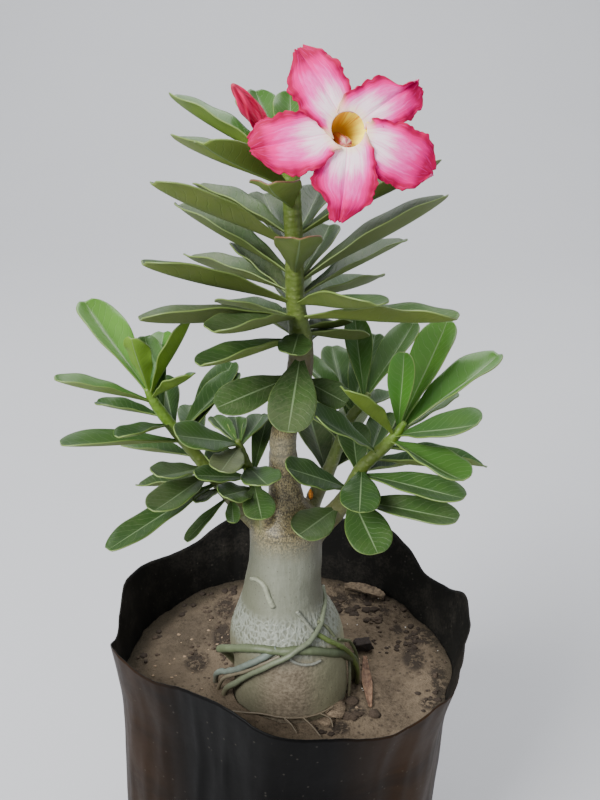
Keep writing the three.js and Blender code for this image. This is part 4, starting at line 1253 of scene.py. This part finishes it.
def make_flower():
    lobes = join("flower_lobes", [make_lobe(number, *row) for number, row in enumerate(LOBES)])
    wear(lobes, PETAL, PETAL_BACK)
    finish(lobes, "SOLIDIFY", thickness=PETAL_THICKNESS * MM, offset=0, material_offset=1)
    dress(lobes, "flower_corolla", "petal")
    profile = [(2.3, -24), (2.4, -19), (2.6, -14), (4.3, -9), (6.2, -4), (7.2, -0.9), (7.1, 0.1),
               (6, 0.2), (5.1, -3.6), (3.3, -8.6), (1.75, -13.4), (1.55, -22.8)]
    last = 62

    def place(azimuth, t):
        ring = min(max(round(t * last) - 1, 0), last - 2)
        radius, depth = curve(profile, (len(profile) - 1) * ring / (last - 2))
        if t in (0, 1):
            radius = 0
        radius *= 1 + 0.1 * blend(-9, 0, depth) * cos(radians(5 * (azimuth - 2)))
        angle = radians(azimuth)
        return flower_point(radius * cos(angle), radius * sin(angle), depth)

    funnel = roll("flower_funnel", 60, last, place)
    dress(funnel, None, "petal", THROAT)
    path = [(0, 0, -22.4, 1.2), (0, 0, -14, 1.2), (0, -0.5, -10.5, 1.4), (-0.2, -1.5, -7.5, 1.4),
            (-0.4, -2.7, -4, 1.8), (-0.5, -4.1, -0.6, 1.8)]
    spots = [curve(path, 5 * k / 30) for k in range(31)]
    stations = [(flower_point(*spot), radius) for *spot, radius in spots]
    cone = tube("anther_cone", stations, 30,
                lambda azimuth, share: 0.12 * cos(radians(5 * azimuth)))
    dress(cone, "flower_anthers", "anther", ANTHER)


def make_bud():
    stations = []
    for k in range(41):
        point = BUD_FOOT.lerp(BUD_TIP, k / 40)
        point.z += 0.6 * sin(pi * k / 40)
        stations.append((point, smooth(BUD_RADII, k / 40, 1)))

    def furled(azimuth, share):
        turn = radians(5 * (azimuth - 170 * share))
        return (0.42 * sin(turn) + 0.14 * sin(2 * turn)) * sin(pi * share) ** 0.6

    bud = tube("furled_bud", stations, 50, furled)
    dress(bud, "flower_bud", "bud", BUD)


def stalk_parts():
    """Stalks and sepals of the flower and the bud."""
    parts = []
    start = stem_point(MAIN_STEM, 338)
    axis = (BUD_TIP - BUD_FOOT).normalized()
    for foot, look, radius, long in (
            (flower_point(0, 0, -TUBE_LENGTH - FOOT_GAP), FORWARD, 3.3, 6),
            (BUD_FOOT - axis * FOOT_GAP, axis, 2.9, 5)):
        path = [start, start.lerp(foot, 0.5) - look * 1.5, foot - look * 2.2, foot]
        flare = [(0, 1.5), (0.2, 1.4), (0.4, 1.4), (0.6, 1.5), (0.8, 1.8), (1, radius - 0.6)]
        stations = [(Vector(curve(path, 3 * k / 24)), smooth(flare, k / 24, 1)) for k in range(25)]
        parts.append(tube("stalk", stations, 20))
        first = Vector((0.3, 0.1, 1)).cross(look).normalized()
        for k in range(5):
            out = first.copy()
            out.rotate(Matrix.Rotation(k * 2 * pi / 5, 3, look))
            side = look.cross(out)

            def place(t, s, foot=foot, look=look, radius=radius, long=long, out=out, side=side):
                half = 1.4 * (1 - 0.85 * t * t)
                return (foot + look * (-1 + (long + 1) * t) + side * s * half
                        + out * (radius - 0.3 * s * s + 0.4 * t - 0.8 * (1 - blend(0, 0.3, t))))

            sepal = sheet("sepal", 8, 12, place)
            finish(sepal, "SOLIDIFY", thickness=PETAL_THICKNESS * MM, offset=0)
            parts.append(sepal)
    return parts


# Dry leaves and bark chip on the soil

def make_lying_leaf(name, node_name, ground, curl, material):
    """A dry leaf along points (x, y, half width) on the soil, its sides curled up."""
    def place(t, s):
        at = t * (len(ground) - 1)
        x, y, half = curve(ground, at)
        x1, y1, _ = curve(ground, at + 0.1)
        long = hypot(x1 - x, y1 - y)
        px, py = x + s * half * (y1 - y) / long, y - s * half * (x1 - x) / long
        lift = 0.75 + abs(s) ** 1.5 * curl + 0.35 * ripple((px, py, 0), 3, 2)
        return Vector((px, py, max(soil_height(px, py), crust(px, py)) + lift))

    leaf = sheet(name, 12, 40, place)
    finish(leaf, "SOLIDIFY", thickness=DRY_THICKNESS * MM, offset=0)
    dress(leaf, node_name, "dry_leaf", material)


def make_withered():
    """A yellowed leaf stub on the main stem and an orange one on the trunk's shoulder."""
    dice = random.Random(5)
    yellow = make_leaf(MAIN_STEM, (275, -165, 12, 8, cut(10, 4, -20)), dice)
    orange = clod((7.2, -12.5, 213.5), (0.9, 0.8, 3.6), (0.6, 0.21, 0.02))
    paint(yellow, "crumb_tint", (0.5, 0.38, 0.08, 1))
    dress(join("withered_stubs", [yellow, orange]), None, "leaf", CRUMB)


def make_chip():
    deselect()
    bpy.ops.mesh.primitive_cube_add(size=1)
    chip = bpy.context.object
    chip.name = "bark_piece"
    bpy.ops.object.mode_set(mode="EDIT")
    bpy.ops.mesh.select_all(action="SELECT")
    bpy.ops.mesh.subdivide(number_cuts=9)
    bpy.ops.object.mode_set(mode="OBJECT")
    turn = Matrix.Rotation(radians(14), 3, "Z")
    seat = Vector((31, 14, soil_height(31, 14) + 2.3))
    for vertex in chip.data.vertices:
        point = Vector((vertex.co.x * 7.8, vertex.co.y * 5.2, vertex.co.z * 3.2))
        point.xy *= 1 - 0.25 * vertex.co.z
        point *= 1 + 0.16 * ripple(point, 2.5, 3)
        vertex.co = (turn @ point + seat) * MM
    paint(chip, "crumb_tint", (0.03, 0.026, 0.025, 1))
    dress(chip, "bark_chip", "chip", CRUMB)


# Stage

def make_stage():
    deselect()
    bpy.ops.mesh.primitive_grid_add(x_subdivisions=2, y_subdivisions=80, size=2)
    floor = bpy.context.object
    floor.name = "floor"
    bend = 0.8
    for vertex in floor.data.vertices:
        along = (vertex.co.y + 1) * 4 - 3
        turn = min(max((along - 1) / bend, 0), pi / 2)
        flat = min(along, 1) + bend * sin(turn)
        rise = bend * (1 - cos(turn)) + max(along - 1 - bend * pi / 2, 0)
        vertex.co = Vector((vertex.co.x * 6, flat, rise - 0.0002))
    bpy.ops.object.shade_smooth()
    wear(floor, surface("pale_floor", floor_skin, Roughness=0.7))
    world = bpy.data.worlds.new("soft_sky")
    bpy.context.scene.world = world
    world.use_nodes = True
    sky = world.node_tree.nodes["Background"].inputs
    sky["Color"].default_value = (0.86, 0.9, 1, 1)
    sky["Strength"].default_value = 0.5
    for name, place, size, energy in (
            ("key_light", (-1.0, -1.0, 1.3), 0.9, 66), ("top_light", (0.1, 0.8, 1.6), 1.6, 40),
            ("fill_light", (1.2, -0.9, 0.7), 1.2, 4)):
        bpy.ops.object.light_add(type="AREA", location=place)
        light = bpy.context.object
        light.name = name
        light.data.size = size
        light.data.energy = energy
        aim = Vector((0, 0, 0.2)) - Vector(place)
        light.rotation_euler = aim.to_track_quat("-Z", "Y").to_euler()
    bpy.ops.object.camera_add(location=Vector(CAMERA_PLACE) * MM,
                              rotation=(radians(90 - CAMERA_PITCH), 0, 0))
    camera = bpy.context.object
    camera.data.lens = CAMERA_LENS
    camera.data.sensor_width = CAMERA_SENSOR
    camera.data.clip_start = 0.01
    bpy.context.scene.camera = camera


make_stage()
make_bag()
make_soil()
make_crumbs()
make_caudex()
make_roots()
make_shoot("main_shoot", "main_leafy_stem", MAIN_STEM, 0.6, stalk_parts())
make_shoot("left_shoot", "left_leafy_shoot", LEFT_STEM, 1)
make_shoot("right_shoot", "right_leafy_shoot", RIGHT_STEM, 1)
make_shoot("front_shoot", "front_leafy_shoot", FRONT_STEM, 0.1)
make_shoot("back_shoot", "back_leafy_shoot", BACK_STEM, 0.4)
make_flower()
make_bud()
make_lying_leaf("fallen_leaf", "dry_leaf_front", [
    (31.6, 8, 0.8), (31.4, -1, 1.6), (31.4, -9, 2.2), (31.6, -17, 1.6), (31.8, -25, 0.6)],
    0.5, DRY_LEAF)
make_lying_leaf("curled_leaf", "dry_leaf_rear", [
    (24.5, 55.5, 1.2), (29.5, 55.5, 2.6), (34.2, 54, 3.2), (38.8, 51, 3), (42.5, 47, 1.4)],
    3, TAN_LEAF)
make_chip()
make_withered()
